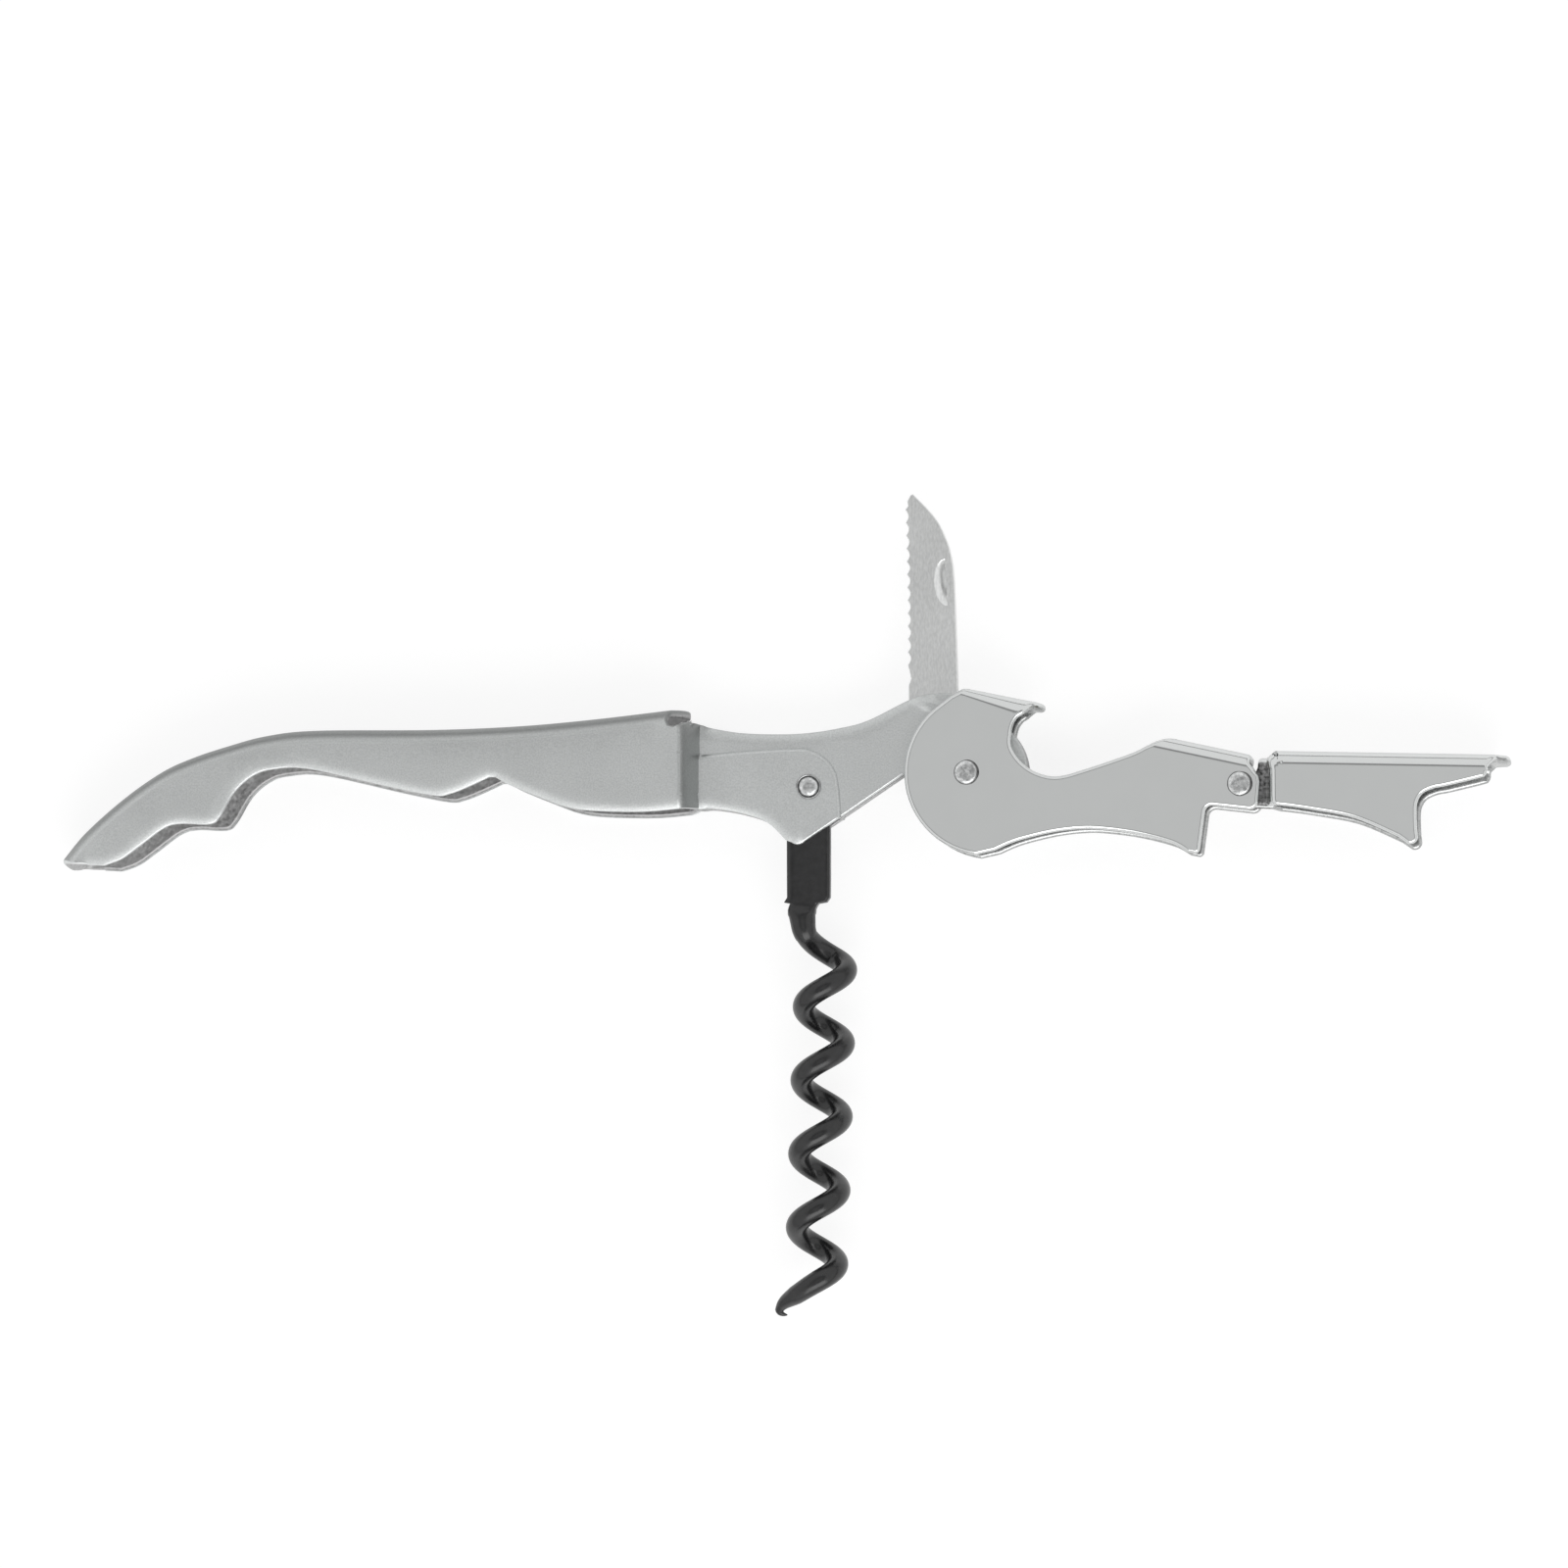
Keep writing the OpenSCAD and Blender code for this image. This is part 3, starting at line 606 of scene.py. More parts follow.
butt_side = at_end(0, ((2.1, -1.4), (1.6, -0.6), (1.15, 0.2), (0.85, 1.0), (0.6, 1.8), (0.4, 2.8), (0.3, 3.8),
                       (0.2, 5.0), (0.2, flap)))
neck_side = at_end(last_back, ((1.9, flap), (1.85, flap * 0.75), (1.6, flap * 0.6), (1.1, flap * 0.45),
                               (0.3, flap * 0.3), (-0.35, 1.1), (-0.5, 0.4), (-0.3, -0.1), (0.3, -0.3)))
web_edge, _ = shifted(back[2:last_back - 1], flap - GRIP_FOLD)
handle_outline = np.vstack([
    fingers, butt_side, web_edge, neck_side,
    head_top[::-1][:-1], arc([-2.6, 9.2], 0.8, 85, 10, 6), [[-1.3, 6.9]],
    arc([0, 0], 7.3, 95, -184, 60), [chin + [1.0, 0.4]], head_chin])
round_off = even(np.vstack([head_chin, fingers, butt_side[:1]]), 0.3), even(head_top, 0.3)
CROWN, CROWN_RUN = 0.34, 1.7  # how far the cheek dips at its edges, and over what distance
BACK_CROWN, BACK_RUN = 0.22, 4.5  # the same along the back of the grip
CREST, CREST_AT = 0.3, np.array([-4.9, 8.6])  # a low ridge along the back of the head, beside the lever


def to_line(p, line):
    """Distance from each point to a line: the nearer of the two pieces that meet at its nearest point."""
    k = nearest(p, line)
    found = []
    for step in (-1, 1):
        other = np.clip(k + step, 0, len(line) - 1)
        a, v = line[k], line[other] - line[k]
        t = np.clip(((p - a) * v).sum(1) / np.maximum((v * v).sum(1), 1e-9), 0, 1)
        found.append(np.linalg.norm(p - a - v * t[:, None], axis=1))
    return np.minimum(*found)


def crown(p):
    """How far a cheek dips at its edges: a parabola over the last stretch before the edge."""
    return sum(CROWN * np.clip(1 - to_line(p, line) / CROWN_RUN, 0, 1) ** 2 for line in round_off)


def in_head(p):
    """0 in the grip, 1 in the head."""
    return ease((p[:, 0] - neck - 0.4) / 1.5)


def handle_relief(p, side):
    """How deep the outside of the head is cut for its crowned edges."""
    return np.where(side > 0, 0.9 * crown(p) * in_head(p), 0)


def handle_bend(p):
    """Bends the blank of one half of the handle."""
    seat = -beyond(p, seat_edge, seat_normal)[0]
    lift = (SEAT_IN - head_in) * ease(seat / SEAT_RUN + 0.5) * ease((p[:, 0] - neck + 0.9) / 1.0)
    head_z = head_in + SHEET / 2 + lift
    dist, foot, norm = beyond(p, fold_line, fold_normal)
    in_grip = p[:, 0] < neck + 0.4
    on_web = in_grip & (dist > 0)
    x = np.where(on_web, foot[:, 0], p[:, 0])
    step_in = np.clip((x - grip_start) / (neck - grip_start - 0.25), 0, 1) ** 1.5
    step_in *= 1 - ease(np.where(on_web, dist, 0))  # the web itself doesn't step in
    z = (grip_out - SHEET / 2) * (1 - step_in) + head_z * step_in
    near_back = np.clip(1 + np.minimum(dist, 0) / BACK_RUN, 0, 1) ** 2
    z -= BACK_CROWN * (near_back * (1 - ease((p[:, 0] - grip_start + 4) / 4)))
    z -= crown(p) * np.where(on_web, 0, 1) * (1 - in_head(p))
    q = p - CREST_AT
    ridge = np.exp(-((q @ [0.42, 0.91]) / 0.75) ** 2 - ((q @ [0.91, -0.42]) / 2.4) ** 2)
    z += CREST * ridge * (p[:, 0] > neck)
    return folded(p, z, np.where(in_grip, dist, -1), foot, norm, GRIP_FOLD - SHEET / 2)


# %% [markdown]
# The triangles need extra points only where the blank bends.
# Rows of points follow the fold along the back, and small blocks fill the shoulder and the edge of the seat.

# %% Handle piece
rows = np.r_[np.arange(-4.4, -0.5, 0.8), np.arange(-0.3, 2.4, 0.18), np.arange(2.9, flap, 0.7)]
along_fold = np.vstack([fold_line[:last_back + 2] + fold_normal[:last_back + 2] * d for d in rows])
shoulder = grid(grip_start - 0.3, neck + 0.4, 0.14, -4.5, 7.0, 0.5)
along_seat = np.vstack([seat_edge + seat_normal * d for d in np.arange(-0.21, 0.22, 0.07)])
along_seat = along_seat[along_seat[:, 0] > neck + 0.4]
dip = np.vstack([shifted(line, -s)[0] for line in round_off for s in (0.5, 0.75, 1.0, 1.3, 1.65)])
spots = np.vstack([grid(butt, grip_start - 1, 2.0, -11, 8, 1.6), grid(-9.5, 0, 0.4, 5.5, 10, 0.4),
                   grid(neck + 0.8, -1, 1.1, -8, 9, 1.1)])
spots = spots[(beyond(spots, fold_line, fold_normal)[0] < -4.8) | (spots[:, 0] > neck)]


def bent_half(outline, holes, bend, edge, extra, relief=None):
    """A bent blank of the usual sheet, mirrored at the middle plane."""
    return weld_mirror(*sheet(outline, holes, bend, SHEET, edge, extra, relief))


place, shade, inner, faces = bent_half(
    handle_outline, [ring((0, 0), HOLE), ring(worm_at, HOLE), ring(knife_at, PIN_HOLE)], handle_bend,
    (0.22, 0.32), np.vstack([along_fold, shoulder, along_seat, dip, spots]), handle_relief)
facing = unit(shade)
# painted shade on the back's fold and on the shoulder: the more a surface faces +y and +x, the darker it is
painted_back_shade = np.clip((np.maximum(facing[:, 0] + facing[:, 1], facing[:, 1]) - 0.04) / 0.5, 0, 1)
# the painted shade is weaker on the head
painted_back_shade *= 1 - 0.6 * ease((place[:, 0] - neck - 0.5) / 1.5)  # the head stays light
piece("handle_sheet", place, shade, inner, faces, "handle", satin, "handle_steel", "handle", back=painted_back_shade)

# %% [markdown]
# ## The lever
#
# Both stages are folded along straight lines. The first stage has two webs: one over the cap hook and one over the
# step rivet, with an open stretch between them. All its edges are polished round.

# %% First stage
LEVER_FOLD = 1.8
DULL_AND_SHADE = 0.45  # share of the dull inside look, with its painted shade, on the inner side of the lever
lever_web = half_web(LEVER_FOLD, lever_out)  # blank beyond the start of the fold


def fold_rows(reach):
    """Distances beyond the start of a fold: close together where it turns, wide apart on the web."""
    return np.r_[np.arange(-0.2, 2.3, 0.2), np.arange(2.8, reach, 0.7)]


class Web:
    """A web whose outer face lies at a distance from a rivet, on a slope in degrees."""

    def __init__(self, rivet, distance, slope, radii=(0, 1, LEVER_FOLD, LEVER_FOLD)):
        a = math.radians(slope)
        self.along = np.array([math.cos(a), math.sin(a)])
        self.up = np.array([-math.sin(a), math.cos(a)])
        self.base = np.asarray(rivet, float) + self.up * distance
        self.radii = radii

    def radius(self, x):
        """Outer radius of the fold, which changes evenly between two places."""
        x0, x1, r0, r1 = self.radii
        return np.interp(x, [x0, x1], [r0, r1])

    def at(self, x, d):
        """Blank point near x on the fold line, and a distance d beyond it."""
        return self.base + self.along * ((x - self.base[0]) / self.along[0]) + self.up * (d - self.radius(x))

    def path(self, x0, *pairs):
        """Blank points given as (along from x0, beyond the fold line)."""
        return [self.at(x0 + a, d) for a, d in pairs]

    def bend(self, p, active):
        """Wraps the active points round the fold."""
        above = ((p - self.base) * self.up).sum(1)
        foot = p - above[:, None] * self.up
        r = self.radius(foot[:, 0])
        return folded(p, lever_out - SHEET / 2, np.where(active, above + r, -1), foot - r[:, None] * self.up,
                      np.broadcast_to(self.up, p.shape), r - SHEET / 2)

    def rows(self, x0, x1, step=1.2):
        """Points for the triangles along the fold."""
        return np.array([self.at(x, d) for d in fold_rows(lever_web) for x in np.arange(x0, x1, step)])


hook_web = Web((0, 0), 10.15, -11.4, (-1, 6, 0.95, 2.05))
end_web = Web(step_at, 3.8, -12.7)
WEB_GAP = 17  # a place in the open stretch between the webs


def first_bend(p):
    """Bends the blank of one half of the first stage."""
    left = p[:, 0] < WEB_GAP
    return np.where(left[:, None], hook_web.bend(p, left), end_web.bend(p, ~left))


foot = step_at + [-4.9, -8.4]
sx, sy = step_at
first_outline = np.vstack([
    arc([2.5, 0], 10.2, 124, 262, 24),
    curve([[3.4, -9.6], [6.1, -8.5], [10.3, -7.5],
           *(foot + [[-14.6, 3.1], [-11.8, 3], [-7.7, 2.4], [-3.6, 1.3], [-1.6, 0.2]])]),
    arc(foot + [-0.6, 0.6], 0.6, -90, 0, 6),
    arc(step_at + [-3.4, -3.5], 0.9, 180, 90, 6),
    arc(step_at + [1.15, -2.1], 1.05, -100, 0, 8),
    step_at + [[2.42, 0.2], [2.25, 1.0], [1.75, 1.6]],
    end_web.path(sx, (1.35, 0.7), (1.4, 1.5), (1.4, lever_web), (-7.7, lever_web), (-7.8, 3.4), (-8.4, 2.2),
                 (-9.5, 1.3), (-10.4, 0.6)),
    curve([end_web.at(sx - 11.2, 0.0), [sx - 13.5, 2], [14.4, 0.2], [11.1, -0.6], [8.6, -0.1], [6.7, 1.2],
           [5.5, 3], [5.45, 4.6], [5.75, 5.9], [6.3, 6.7]]),
    hook_web.path(0, (7.3, 0.2), (7.8, 0.9), (8.5, 1.9), (9.2, 2.8), (9.4, 3.6), (9.45, lever_web), (-0.4, lever_web),
                  (-0.4, 1.4), (-0.55, 0.8)),
    [[-1.15, 9.8], [-1.95, 9.4]]])
place, shade, inner, faces = bent_half(
    first_outline, [ring((0, 0), HOLE), ring(step_at, HOLE)], first_bend, (0.5, 0.4),
    np.vstack([hook_web.rows(-0.9, 9, 0.8), end_web.rows(sx - 11, sx + 1.4)]))
# the inner side gets part of the dull inside look with its painted shade
piece("first_stage", place, shade, inner * DULL_AND_SHADE, faces, "lever_first_stage", chrome, "lever_chrome",
      "lever_first_stage")

# %% [markdown]
# The second stage starts with a narrow root between the cheeks of the first one.
# Its cheeks then step out to nearly the width of the grip, and its web rises a little at the same place.

# %% Second stage
ROOT_START, ROOT_END = 3.4, 4.5  # where the step out begins and ends, from the step rivet
SECOND_FOLD = 1.85
SECOND_SLOPE, SECOND_TOP, ROOT_TOP = -1.7, 4.05, 3.3  # degrees, and heights over the step rivet
second_line_x = np.linspace(sx + 1.6, lever_tip + 1.5, 140)


def past_root(x):
    """0 on the root, 1 on the wide part."""
    return ease((x - sx - ROOT_START) / (ROOT_END - ROOT_START))


def second_top(x):
    """Outer face of the web of the second stage: low over the root, then a sloping straight line."""
    main = SECOND_TOP + (x - sx) * math.tan(math.radians(SECOND_SLOPE))
    return sy + ROOT_TOP * (1 - past_root(x)) + main * past_root(x)


second_line, second_normal = shifted(np.c_[second_line_x, second_top(second_line_x)], -SECOND_FOLD)


def second_bend(p):
    """Bends the blank of one half of the second stage: narrow at the root, wide beyond it."""
    dist, near, norm = beyond(p, second_line, second_normal)
    active = p[:, 0] > sx + 1.8
    x = np.where(active & (dist > 0), near[:, 0], p[:, 0])
    z = (root_in + SHEET / 2) * (1 - past_root(x)) + (second_out - SHEET / 2) * past_root(x)
    return folded(p, z, np.where(active, dist, -1), near, norm, SECOND_FOLD - SHEET / 2)


def second_path(x0, *pairs):
    """Blank points given as (along from x0, beyond the fold line)."""
    at = [(np.abs(second_line[:, 0] - (x0 + a)).argmin(), d) for a, d in pairs]
    return [second_line[k] + second_normal[k] * d for k, d in at]


reach = half_web(SECOND_FOLD, second_out)
tooth = step_at + [21.3, -7.9]
end_y = second_top(lever_tip)
second_outline = np.vstack([
    arc(step_at, 2.5, 75, 268, 16),
    curve([*(step_at + [[1.2, -2.6], [4.6, -2.8], [8.7, -3.4]]), *(tooth + [[-7.3, 3.4], [-2.1, 1.1]])])[1:],
    arc(tooth + [-0.6, 1.1], 0.9, -110, 0, 8),
    curve([*(tooth + [[0.2, 1.9], [0.15, 3.6], [0.25, 5.2], [0.9, 6.3], [2.2, 6.9], [3.8, 7.2]]),
           *([lever_tip, end_y] + np.array([[-3.7, -2.85], [-3.05, -2.55], [-2.8, -2.05]]))]),
    second_path(lever_tip, (-2.7, 0.3), (-2.4, 0.9), (-1.9, 1.6), (-1.1, 2.3), (-0.5, 3.0), (-0.2, 3.8),
                (-0.15, 4.6), (-0.15, reach)),
    second_path(sx, (2.1, reach), (2.1, 0.6), (1.9, 0.0))])
rise = grid(sx + ROOT_START - 0.2, sx + ROOT_END + 0.2, 0.12, sy - 3.2, sy + 1.8, 0.5)
second_rows = np.vstack([second_line[::2] + second_normal[::2] * d for d in fold_rows(reach)])
second_rows = second_rows[(second_rows[:, 0] < sx + 3.2) | (second_rows[:, 0] > sx + 5.1)]
dense_x = np.arange(sx + 3.2, sx + 5.1, 0.12)
dense = np.c_[dense_x, np.interp(dense_x, second_line[:, 0], second_line[:, 1])]
dense_rows = np.vstack([dense + [0, d] for d in np.arange(-0.2, reach, 0.25)])
place, shade, inner, faces = bent_half(second_outline, [ring(step_at, HOLE)], second_bend, (0.5, 0.42),
                                       np.vstack([rise, second_rows, dense_rows]))
# the inner side gets part of the dull inside look with its painted shade
inner *= DULL_AND_SHADE
on_root = (place[:, 0] < sx + ROOT_START - 0.1) & (np.abs(place[:, 2]) > root_in + 0.2) & (place[:, 1] < sy + 2.6)
inner[on_root] = 1  # painted shade: the cheeks of the root, in the gap inside the first stage, get the full dark inside look
piece("second_stage", place, shade, inner, faces, "lever_second_stage", chrome, "lever_chrome",
      "lever_second_stage")

# %% [markdown]
# ## The foil knife
#
# The blade is flat. Its cutting edge is ground on the back face, in one small hollow for each serration.
# The nail nick is a half moon: the part of a shallow round cut that lies on one side of a straight line.

# %% Blade
KNIFE_T = 1.2  # thickness
edge_x, spine_x = knife_at[0] - 3.0, knife_at[0] + 3.1
knife_top = span("foil_knife", 1)[1]
SERRATIONS, PITCH, DEPTH = 12, 1.6, 0.35
edge_low = knife_at[1] + 8.6
along = np.linspace(0, SERRATIONS, SERRATIONS * 10 + 1)
BOW = 0.3  # how far the cutting edge bows out towards the tip
teeth = np.c_[edge_x - 0.1 - BOW * (along / SERRATIONS) ** 2 + DEPTH * np.abs(np.sin(np.pi * along)),
              edge_low + along * PITCH]
blade_outline = np.vstack([
    [[edge_x, knife_at[1] + 0.4], *([edge_x, edge_low] + np.array([[0, -2.5], [0.3, -1.7], [0.1, -0.7]]))],
    teeth,
    [[edge_x - 0.05, edge_low + SERRATIONS * PITCH + 0.45], [edge_x - 0.15, knife_top - 0.95],
     [edge_x + 0.25, knife_top - 0.2]],
    curve([[edge_x + 0.55, knife_top - 0.05],
           *([spine_x, knife_top] + np.array([[-3.85, -1.8], [-2.55, -3.4], [-1.65, -5.2], [-0.9, -7.4],
                                              [-0.4, -11.5]])), [spine_x, knife_at[1] + 5]]),
    arc(knife_at, 3.0, -10, -180, 30)])[::-1]
nick_at = np.array([spine_x - 1.4, knife_at[1] + 18.7])


def blade_bend(p):
    """The blade stays flat in the middle plane."""
    return np.c_[p, np.zeros(len(p))]


def blade_relief(p, side):
    """How deep each face is cut: the grind with its hollows at the back, and the nail nick in front."""
    from_edge = p[:, 0] - edge_x
    on_edge = ease((p[:, 1] - edge_low + 1.2) / 1.2)
    wave = np.abs(np.sin(np.pi * np.clip((p[:, 1] - edge_low) / PITCH, 0, SERRATIONS)))
    grind = on_edge * 0.6 * np.clip(1 - from_edge / (0.7 + 0.45 * wave), 0, 1.2)
    q = p - nick_at
    q[:, 0] += 0.055 * q[:, 1]
    dish = np.clip(1 - (q[:, 0] / 1.5) ** 2 - (q[:, 1] / 2.95) ** 2, 0, 1)
    nick = (0.44 * dish + 0.04 * np.sqrt(dish)) * ease(0.5 - q[:, 0] / 0.1)
    return np.where(side > 0, nick, np.minimum(grind, 0.75))


nick_x, nick_y = nick_at
fine_grid = np.vstack([grid(edge_x, edge_x + 1.5, 0.13, edge_low - 2, knife_top, 0.13),
                       grid(nick_x - 1.8, nick_x + 0.5, 0.05, nick_y - 3.2, nick_y + 3.2, 0.12)])
blade = sheet(blade_outline, [ring(knife_at, PIN_HOLE)], blade_bend, KNIFE_T, (0.16, 0.2), fine_grid, blade_relief)
piece("foil_blade", *blade, "foil_knife", ground, "blade_steel", "foil_knife")

# %% [markdown]
# ## The worm
#
# The worm is one length of wire. Its top is hammered flat into a tang, then it is round again down the stem and
# through the coil, and it ends in a short hooked point.
# One sweep makes all of it: every ring is a superellipse whose width, thickness and squareness change on the way.
# The coil is a helix: x = r sin a, z = r cos a, and y falls by one pitch in each turn.

# %% Worm
WIRE, PITCH_W, TURNS, STEM = 2.7, 9.0, 4.9, 18.1  # thickness, pitch, turns, and length down to the coil
LEAN = math.tan(math.radians(1.8))  # the coil's axis isn't quite square to the handle
SIDES = 32
coil_r = (7.8 - WIRE) / 2
coil_mid = worm_at[0] - 0.6 + coil_r
coil_top = worm_at[1] - STEM

turn = np.arange(0.0, TURNS * 48 + 1) / 48
angle = -np.pi / 2 - 2 * np.pi * turn
drop = turn * PITCH_W
helix = np.c_[coil_mid + coil_r * np.sin(angle) - drop * LEAN, coil_top - drop, coil_r * np.cos(angle)]

low = worm_at[1] - 13.4  # where the tang ends
lead_y = np.linspace(worm_at[1] + 2.65, coil_top + 0.15, 140)


def tang_side(*points):
    """x of one side of the tang and the stem at each lead_y, from (height over low, x from the rivet)."""
    line = curve([low, worm_at[0]] + np.array(points))
    return np.interp(-lead_y, -line[:, 0], line[:, 1])


left_x = tang_side([16.4, -2.95], [-0.6, -2.9], [-2.0, -2.75], [-4.2, -2.35], [-5.5, -2.15], [-8, -2.1])
right_x = tang_side([16.4, 2.45], [0.45, 2.45], [0.3, 2.2], [-0.1, 1.2], [-1.1, 0.6], [-2.6, 0.6], [-8, 0.55])
lead = np.c_[(left_x + right_x) / 2, lead_y, np.zeros(len(lead_y))]
hook = curve(helix[-1] + [[0, 0, 0], [-1.45, -0.5, -0.6], [-2.2, -1.25, -1.1], [-2.2, -1.85, -1.35],
                          [-1.8, -2.15, -1.45], [-1.3, -2.25, -1.45]], 5)[1:]
path = np.vstack([lead, helix, hook])
count, to_coil, to_hook = len(path), len(lead), len(lead) + len(helix)
for near in [slice(to_coil - 30, to_coil + 14), slice(to_hook - 12, to_hook + 12)] * 30:  # smooths both joints
    path[near] = (path[near.start - 1:near.stop - 1] + 2 * path[near] + path[near.start + 1:near.stop + 1]) / 4
way_down = unit(np.gradient(path, axis=0))
way_down[:to_coil - 45] = [0, -1, 0]  # sections of the tang stay level, or its sides would look twisted
way_down[to_coil - 45:to_coil - 20, 0] = 0
way_down = unit(way_down)

flat_part = 1 - ease((low - 0.5 - path[:, 1]) / 2.4)
eye_round = (path[:, 1] - worm_at[1]) / 2.7
eye = np.where(path[:, 1] > worm_at[1], np.sqrt(np.clip(1 - eye_round**2, 0.02, 1)), 1)
half_w = np.r_[(right_x - left_x) / 2, np.full(count - to_coil, WIRE / 2)] * eye
half_t = flat_part * TANG_HALF + (1 - flat_part) * WIRE / 2
point = np.interp(np.arange(count), count - np.array([36, 26, 21, 16, 11, 6, 1]),
                  [1, 0.88, 0.68, 0.47, 0.33, 0.2, 0.05])
half_w, half_t = half_w * point, half_t * point
power = 2 / (2 + 4 * flat_part)[:, None]  # 1 for a round section, a third for a nearly square one

coil_out = path - np.c_[np.full(count, coil_mid), path[:, 1], np.zeros(count)]
coil_out[:, 0] += np.clip(coil_top - path[:, 1], 0, None) * LEAN
in_coil = ease((np.arange(count) - to_coil + 30) / 40)[:, None]
aim = np.array([-1.0, 0, 0]) * (1 - in_coil) + unit(coil_out) * in_coil
aim[-len(hook):] = aim[-len(hook) - 1]
aim = unit(aim - (aim * way_down).sum(1)[:, None] * way_down)
other = np.cross(way_down, aim)
phi = 2 * np.pi * np.arange(SIDES) / SIDES
cx = np.sign(np.cos(phi)) * np.abs(np.cos(phi)) ** power * half_w[:, None]
cz = np.sign(np.sin(phi)) * np.abs(np.sin(phi)) ** power * half_t[:, None]
rings = path[:, None] + cx[..., None] * aim[:, None] + cz[..., None] * other[:, None]
wire = np.vstack([rings.reshape(-1, 3), path[:1] + [0, 0.05, 0], path[-1:] + way_down[-1] * 0.04])
shell = [ring_quads(count, SIDES)[:, ::-1], fan(0, SIDES, count * SIDES),
         fan((count - 1) * SIDES, SIDES, count * SIDES + 1)[:, ::-1]]
piece("worm_wire", wire, None, 0.0, shell, "worm", black, "worm_coating", "worm")

# %% [markdown]
# ## Rivets
#
# Each rivet head was set with a few hammer blows, so its dome is a little uneven.
# The profile is a low dome with a short wall, turned round its axis. A few slow waves in the angle make it uneven.
# The worm's rivet has a low collar round its dome, and the foot of each head gets painted shade.

# %% Rivets
SHAFT = 1.1  # radius of the shafts


def rivet(node, at, reach_z, body, seed, collar=False):
    """A shaft with a domed head at both ends, as one turned surface. A collar is a low ring round the dome."""
    low, high = span(node)
    head_r = np.ptp(span(node, 0)) / 2
    rise = high - reach_z
    t = np.linspace(0.1, 1, 14)
    dome_r = head_r * (0.78 if collar else 1.0) * np.sin(t * math.pi / 2)
    dome_z = reach_z + rise * (0.12 + 0.88 * np.cos(t * math.pi / 2) ** 0.9)
    if collar:
        dome_r = np.r_[dome_r, head_r * np.array([0.80, 0.87, 0.90, 0.97, 1.0])]
        dome_z = np.r_[dome_z, reach_z + rise * np.array([0.02, 0.02, 0.42, 0.42, 0.1])]
    radius = np.r_[dome_r, SHAFT, SHAFT, dome_r[::-1]]
    z = np.r_[dome_z, reach_z, -reach_z, -dome_z[::-1]]
    n, rings = 48, len(z)
    a = 2 * np.pi * np.arange(n) / n
    uneven = 1 + 0.02 * np.sin(2 * a + seed) + 0.015 * np.sin(5 * a + 2 * seed)
    r = radius[:, None] * np.where((np.abs(z) > reach_z)[:, None], np.minimum(uneven, 1.0), 1)
    ring_z = np.clip(z[:, None] * (1 - 0.006 * np.sin(3 * a + seed)), low, high)
    pts = np.stack([at[0] + r * np.cos(a), at[1] + r * np.sin(a), ring_z], -1).reshape(-1, 3)
    pts = np.vstack([pts, [[*at, high], [*at, low]]])
    skin = [ring_quads(rings, n)[:, [0, 3, 2, 1]], fan(0, n, rings * n),
            fan((rings - 1) * n, n, rings * n + 1)[:, [1, 0, 2]]]
    out = np.hypot(*(pts[:, :2] - at).T) / head_r
    side = np.clip((pts[:, 0] - at[0]) / head_r, 0, 1)
    dark = ease((out - 0.86 + 0.14 * side) / 0.12)  # painted shade round the foot of the head, wider on its +x side
    if collar:
        # painted shade in the groove between the dome and its collar, and round the collar's foot
        dark = np.maximum(np.exp(-((out - 0.835) / 0.05) ** 2), ease((out - 0.93) / 0.07))
    piece(node + "_turned", pts, None, dark, skin, body, domed, "rivet_steel", node)


rivet("lever_rivet", (0, 0), lever_out, "lever_first_stage", 0.4)
rivet("step_rivet", step_at, lever_out, "lever_first_stage", 1.9)
rivet("worm_rivet", worm_at, SEAT_IN + SHEET, "handle", 3.1, collar=True)

for node, material in (("knife_pin", domed), ("lever_bush", brass), ("step_bush", brass),
                       ("lever_washer_front", plain), ("lever_washer_back", plain)):
    carried = frame["nodes"][node]
    carried.data.materials.clear()
    carried.data.materials.append(material)

# %% [markdown]
# ## Floor, light and camera
#
# The tool lies on a white table and is seen from above, through a long lens a little to the right.
# The room is a plain soft studio in bands: dark at the horizon, bright on the sides, a thin darker ring high up and a
# calm grey overhead. Polished metal that faces up shows the grey, and rounded edges show the bands.
# One wide soft box, rather low, gives the satin steel its light rims.

# %% Floor and light
GLOW, GLOW_SHARE, FLOOR_HALF = 1.17, 0.68, 9.0
BANDS = ((0.0, 0.3), (0.10, 0.3), (0.16, 0.82), (0.86, 0.82), (0.90, 0.26), (0.955, 0.26), (0.975, 0.62),
         (1.0, 0.62))  # (sine of the height above the horizon, grey)


def seen(tree):
    """0 for the rays that carry light, 1 for camera rays, and half for what metal and glass show."""
    path = add_node(tree, "LightPath").outputs
    value = path["Is Camera Ray"]
    for ray in ("Is Glossy Ray", "Is Transmission Ray"):
        value = add_node(tree, "Math", {0: path[ray], 1: 0.5, 2: value},
                         operation="MULTIPLY_ADD", use_clamp=True).outputs[0]
    return value


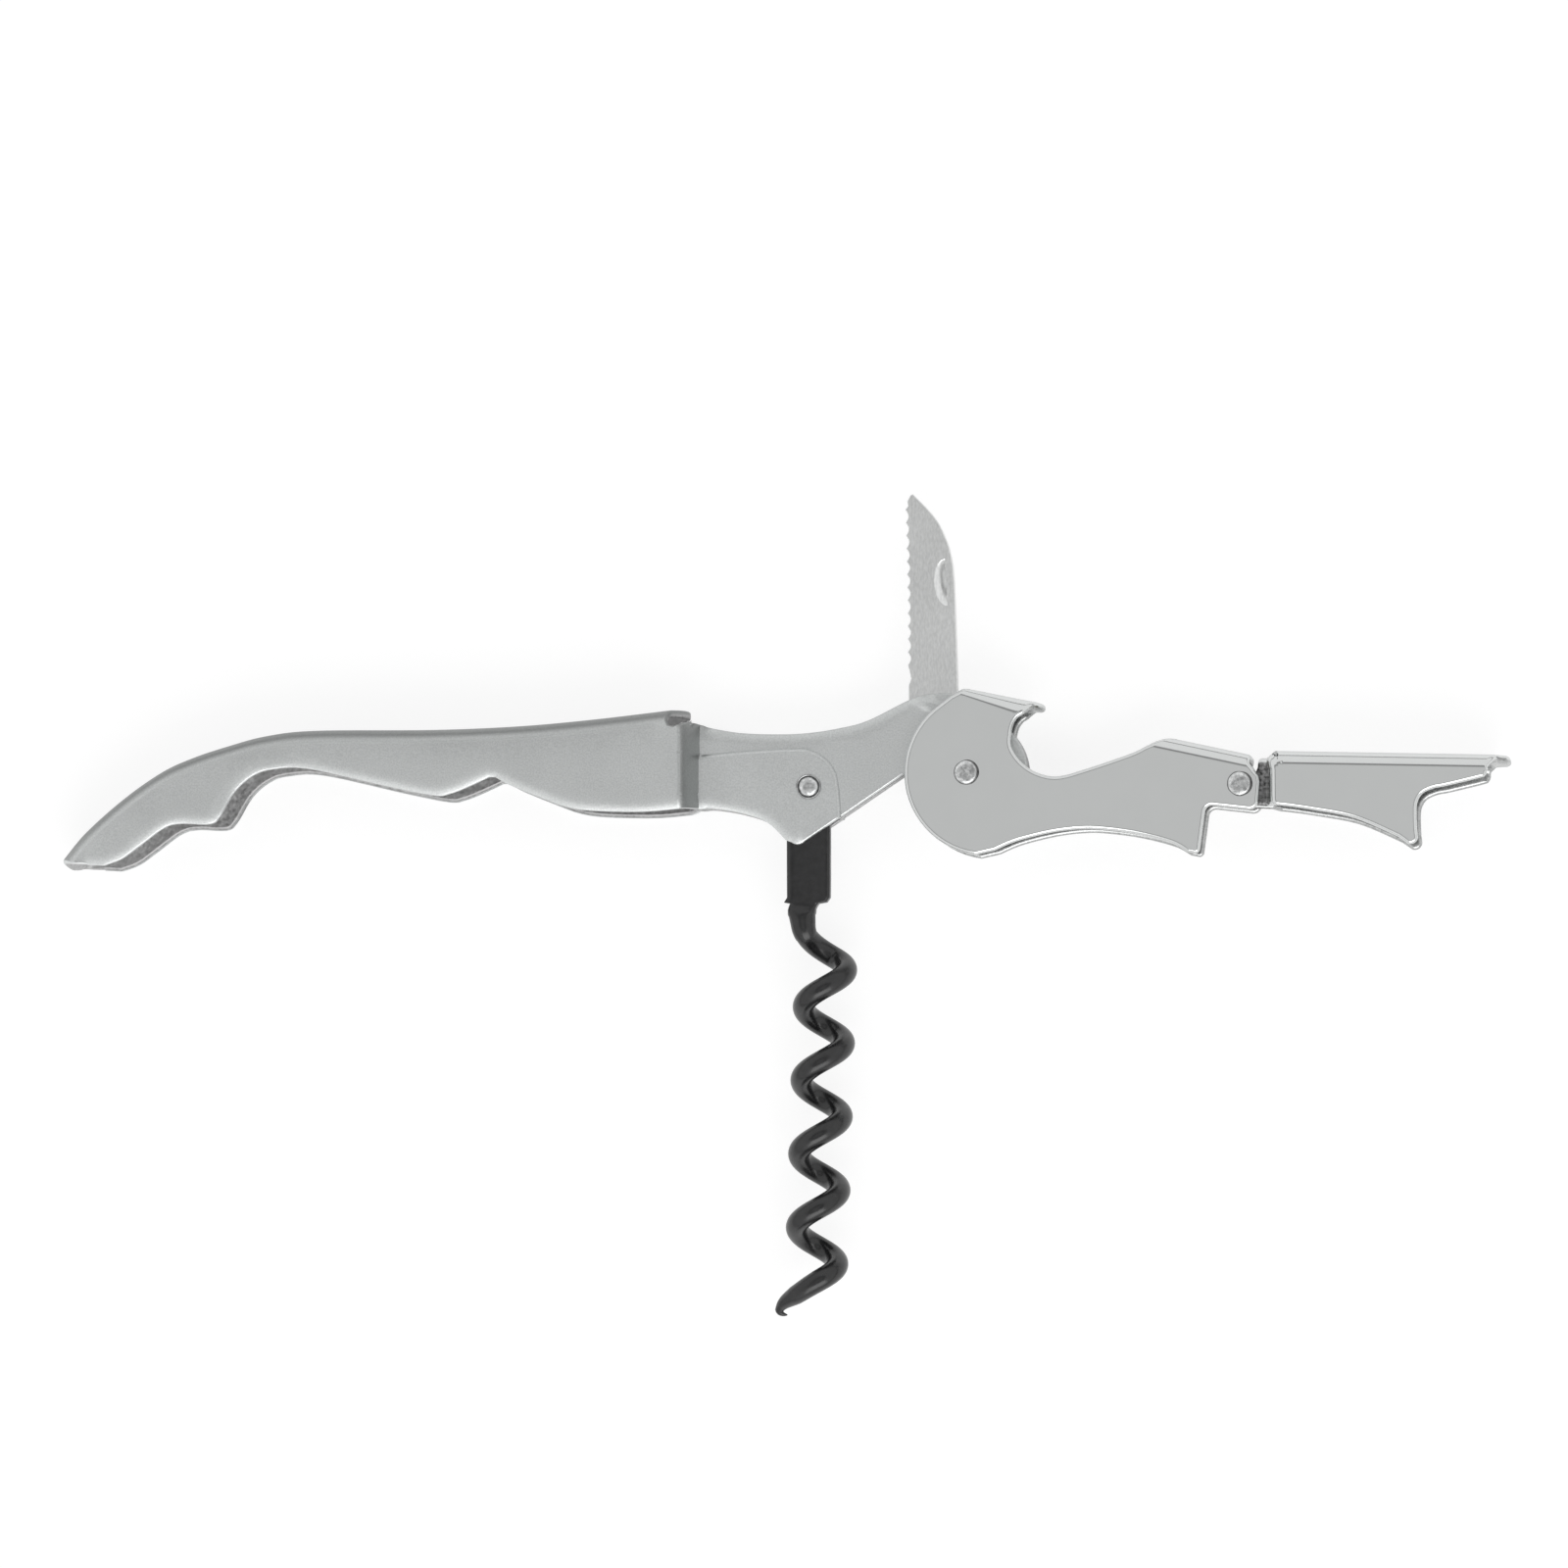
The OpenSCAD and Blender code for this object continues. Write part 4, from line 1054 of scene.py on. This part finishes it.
def floor():
    """A wide pale table top. To the camera it glows a little, so that it is white and its shadow is faint."""
    mat, tree, shader = nodes_of("table_white")
    white = blend(tree, spread(tree, noise(tree, 3, 2)), (0.86, 0.86, 0.86), (0.88, 0.88, 0.88))
    feed(tree, shader, {"Base Color": white, "Roughness": 0.9, "Specular IOR Level": 0.1})
    glow = add_node(tree, "Emission", {"Strength": GLOW})
    share = add_node(tree, "Math", {0: seen(tree), 1: GLOW_SHARE}, operation="MULTIPLY")
    mix = add_node(tree, "MixShader", {0: share.outputs[0], 1: shader.outputs[0], 2: glow.outputs[0]})
    feed(tree, tree.nodes["Material Output"], {"Surface": mix.outputs[0]})
    mesh = bpy.data.meshes.new("table_top")
    corners = np.array([[-1, -1, 0], [1, -1, 0], [1, 1, 0], [-1, 1, 0]]) * FLOOR_HALF
    mesh.from_pydata(corners.tolist(), [], [(0, 1, 2, 3)])
    mesh.materials.append(mat)
    obj = show("table_top", mesh)


def room():
    """Light from all round, in bands by height, and plain white for the camera."""
    world = bpy.data.worlds.new("soft_room")
    bpy.context.scene.world = world
    world.use_nodes = True
    tree = world.node_tree
    tree.nodes.clear()
    coord = add_node(tree, "TexCoord").outputs["Generated"]
    up = add_node(tree, "SeparateXYZ", {0: coord}).outputs["Z"]
    bands = add_node(tree, "ValToRGB", {0: up})
    elements = bands.color_ramp.elements
    for k, (height, grey) in enumerate(BANDS):
        element = elements.new(height) if 0 < k < len(BANDS) - 1 else elements[0 if k == 0 else -1]
        element.position = height
        element.color = (grey, grey, grey, 1)
    camera_ray = add_node(tree, "LightPath").outputs["Is Camera Ray"]
    light = add_node(tree, "Background", {"Color": bands.outputs["Color"]})
    white = add_node(tree, "Background", {"Color": (1, 1, 1, 1)})
    mix = add_node(tree, "MixShader", {0: camera_ray, 1: light.outputs[0], 2: white.outputs[0]})
    add_node(tree, "OutputWorld", {"Surface": mix.outputs[0]})


def lamp(name, azimuth, elevation, far, wide, tall, radiance):
    """A soft box that points at the tool. Its power is the radiance times pi times its area."""
    light = bpy.data.lights.new(name, "AREA")
    light.shape = "RECTANGLE"
    light.size, light.size_y = wide, tall
    light.energy = radiance * math.pi * wide * tall
    obj = show(name, light)
    a, e = math.radians(azimuth), math.radians(elevation)
    place = Vector((math.cos(e) * math.cos(a), math.cos(e) * math.sin(a), math.sin(e))) * far
    obj.location = place
    obj.rotation_euler = (-place).to_track_quat("-Z", "Y").to_euler()


floor()
room()
lamp("soft_box", -72, 42, 1.3, 1.2, 0.8, 1.8)

# %% Camera
LENS, SENSOR = 162.4, 36  # mm
EYE, TARGET = (Vector(((np.array(at) + CENTRE) * MM).tolist())  # from the lever rivet, in mm
               for at in ([101.85, -76.70, 858.0], [-22.45, -1.20, 4.0]))
camera_data = bpy.data.cameras.new("camera")
camera_data.lens, camera_data.sensor_width, camera_data.clip_end = LENS, SENSOR, 60
camera = show("camera", camera_data)
ahead = (TARGET - EYE).normalized()
right = ahead.cross(Vector((0, 1, 0))).normalized()
camera.location = EYE
camera.rotation_euler = Matrix((right, right.cross(ahead), -ahead)).transposed().to_euler()
bpy.context.scene.camera = camera
bpy.context.scene.view_settings.view_transform = "Standard"
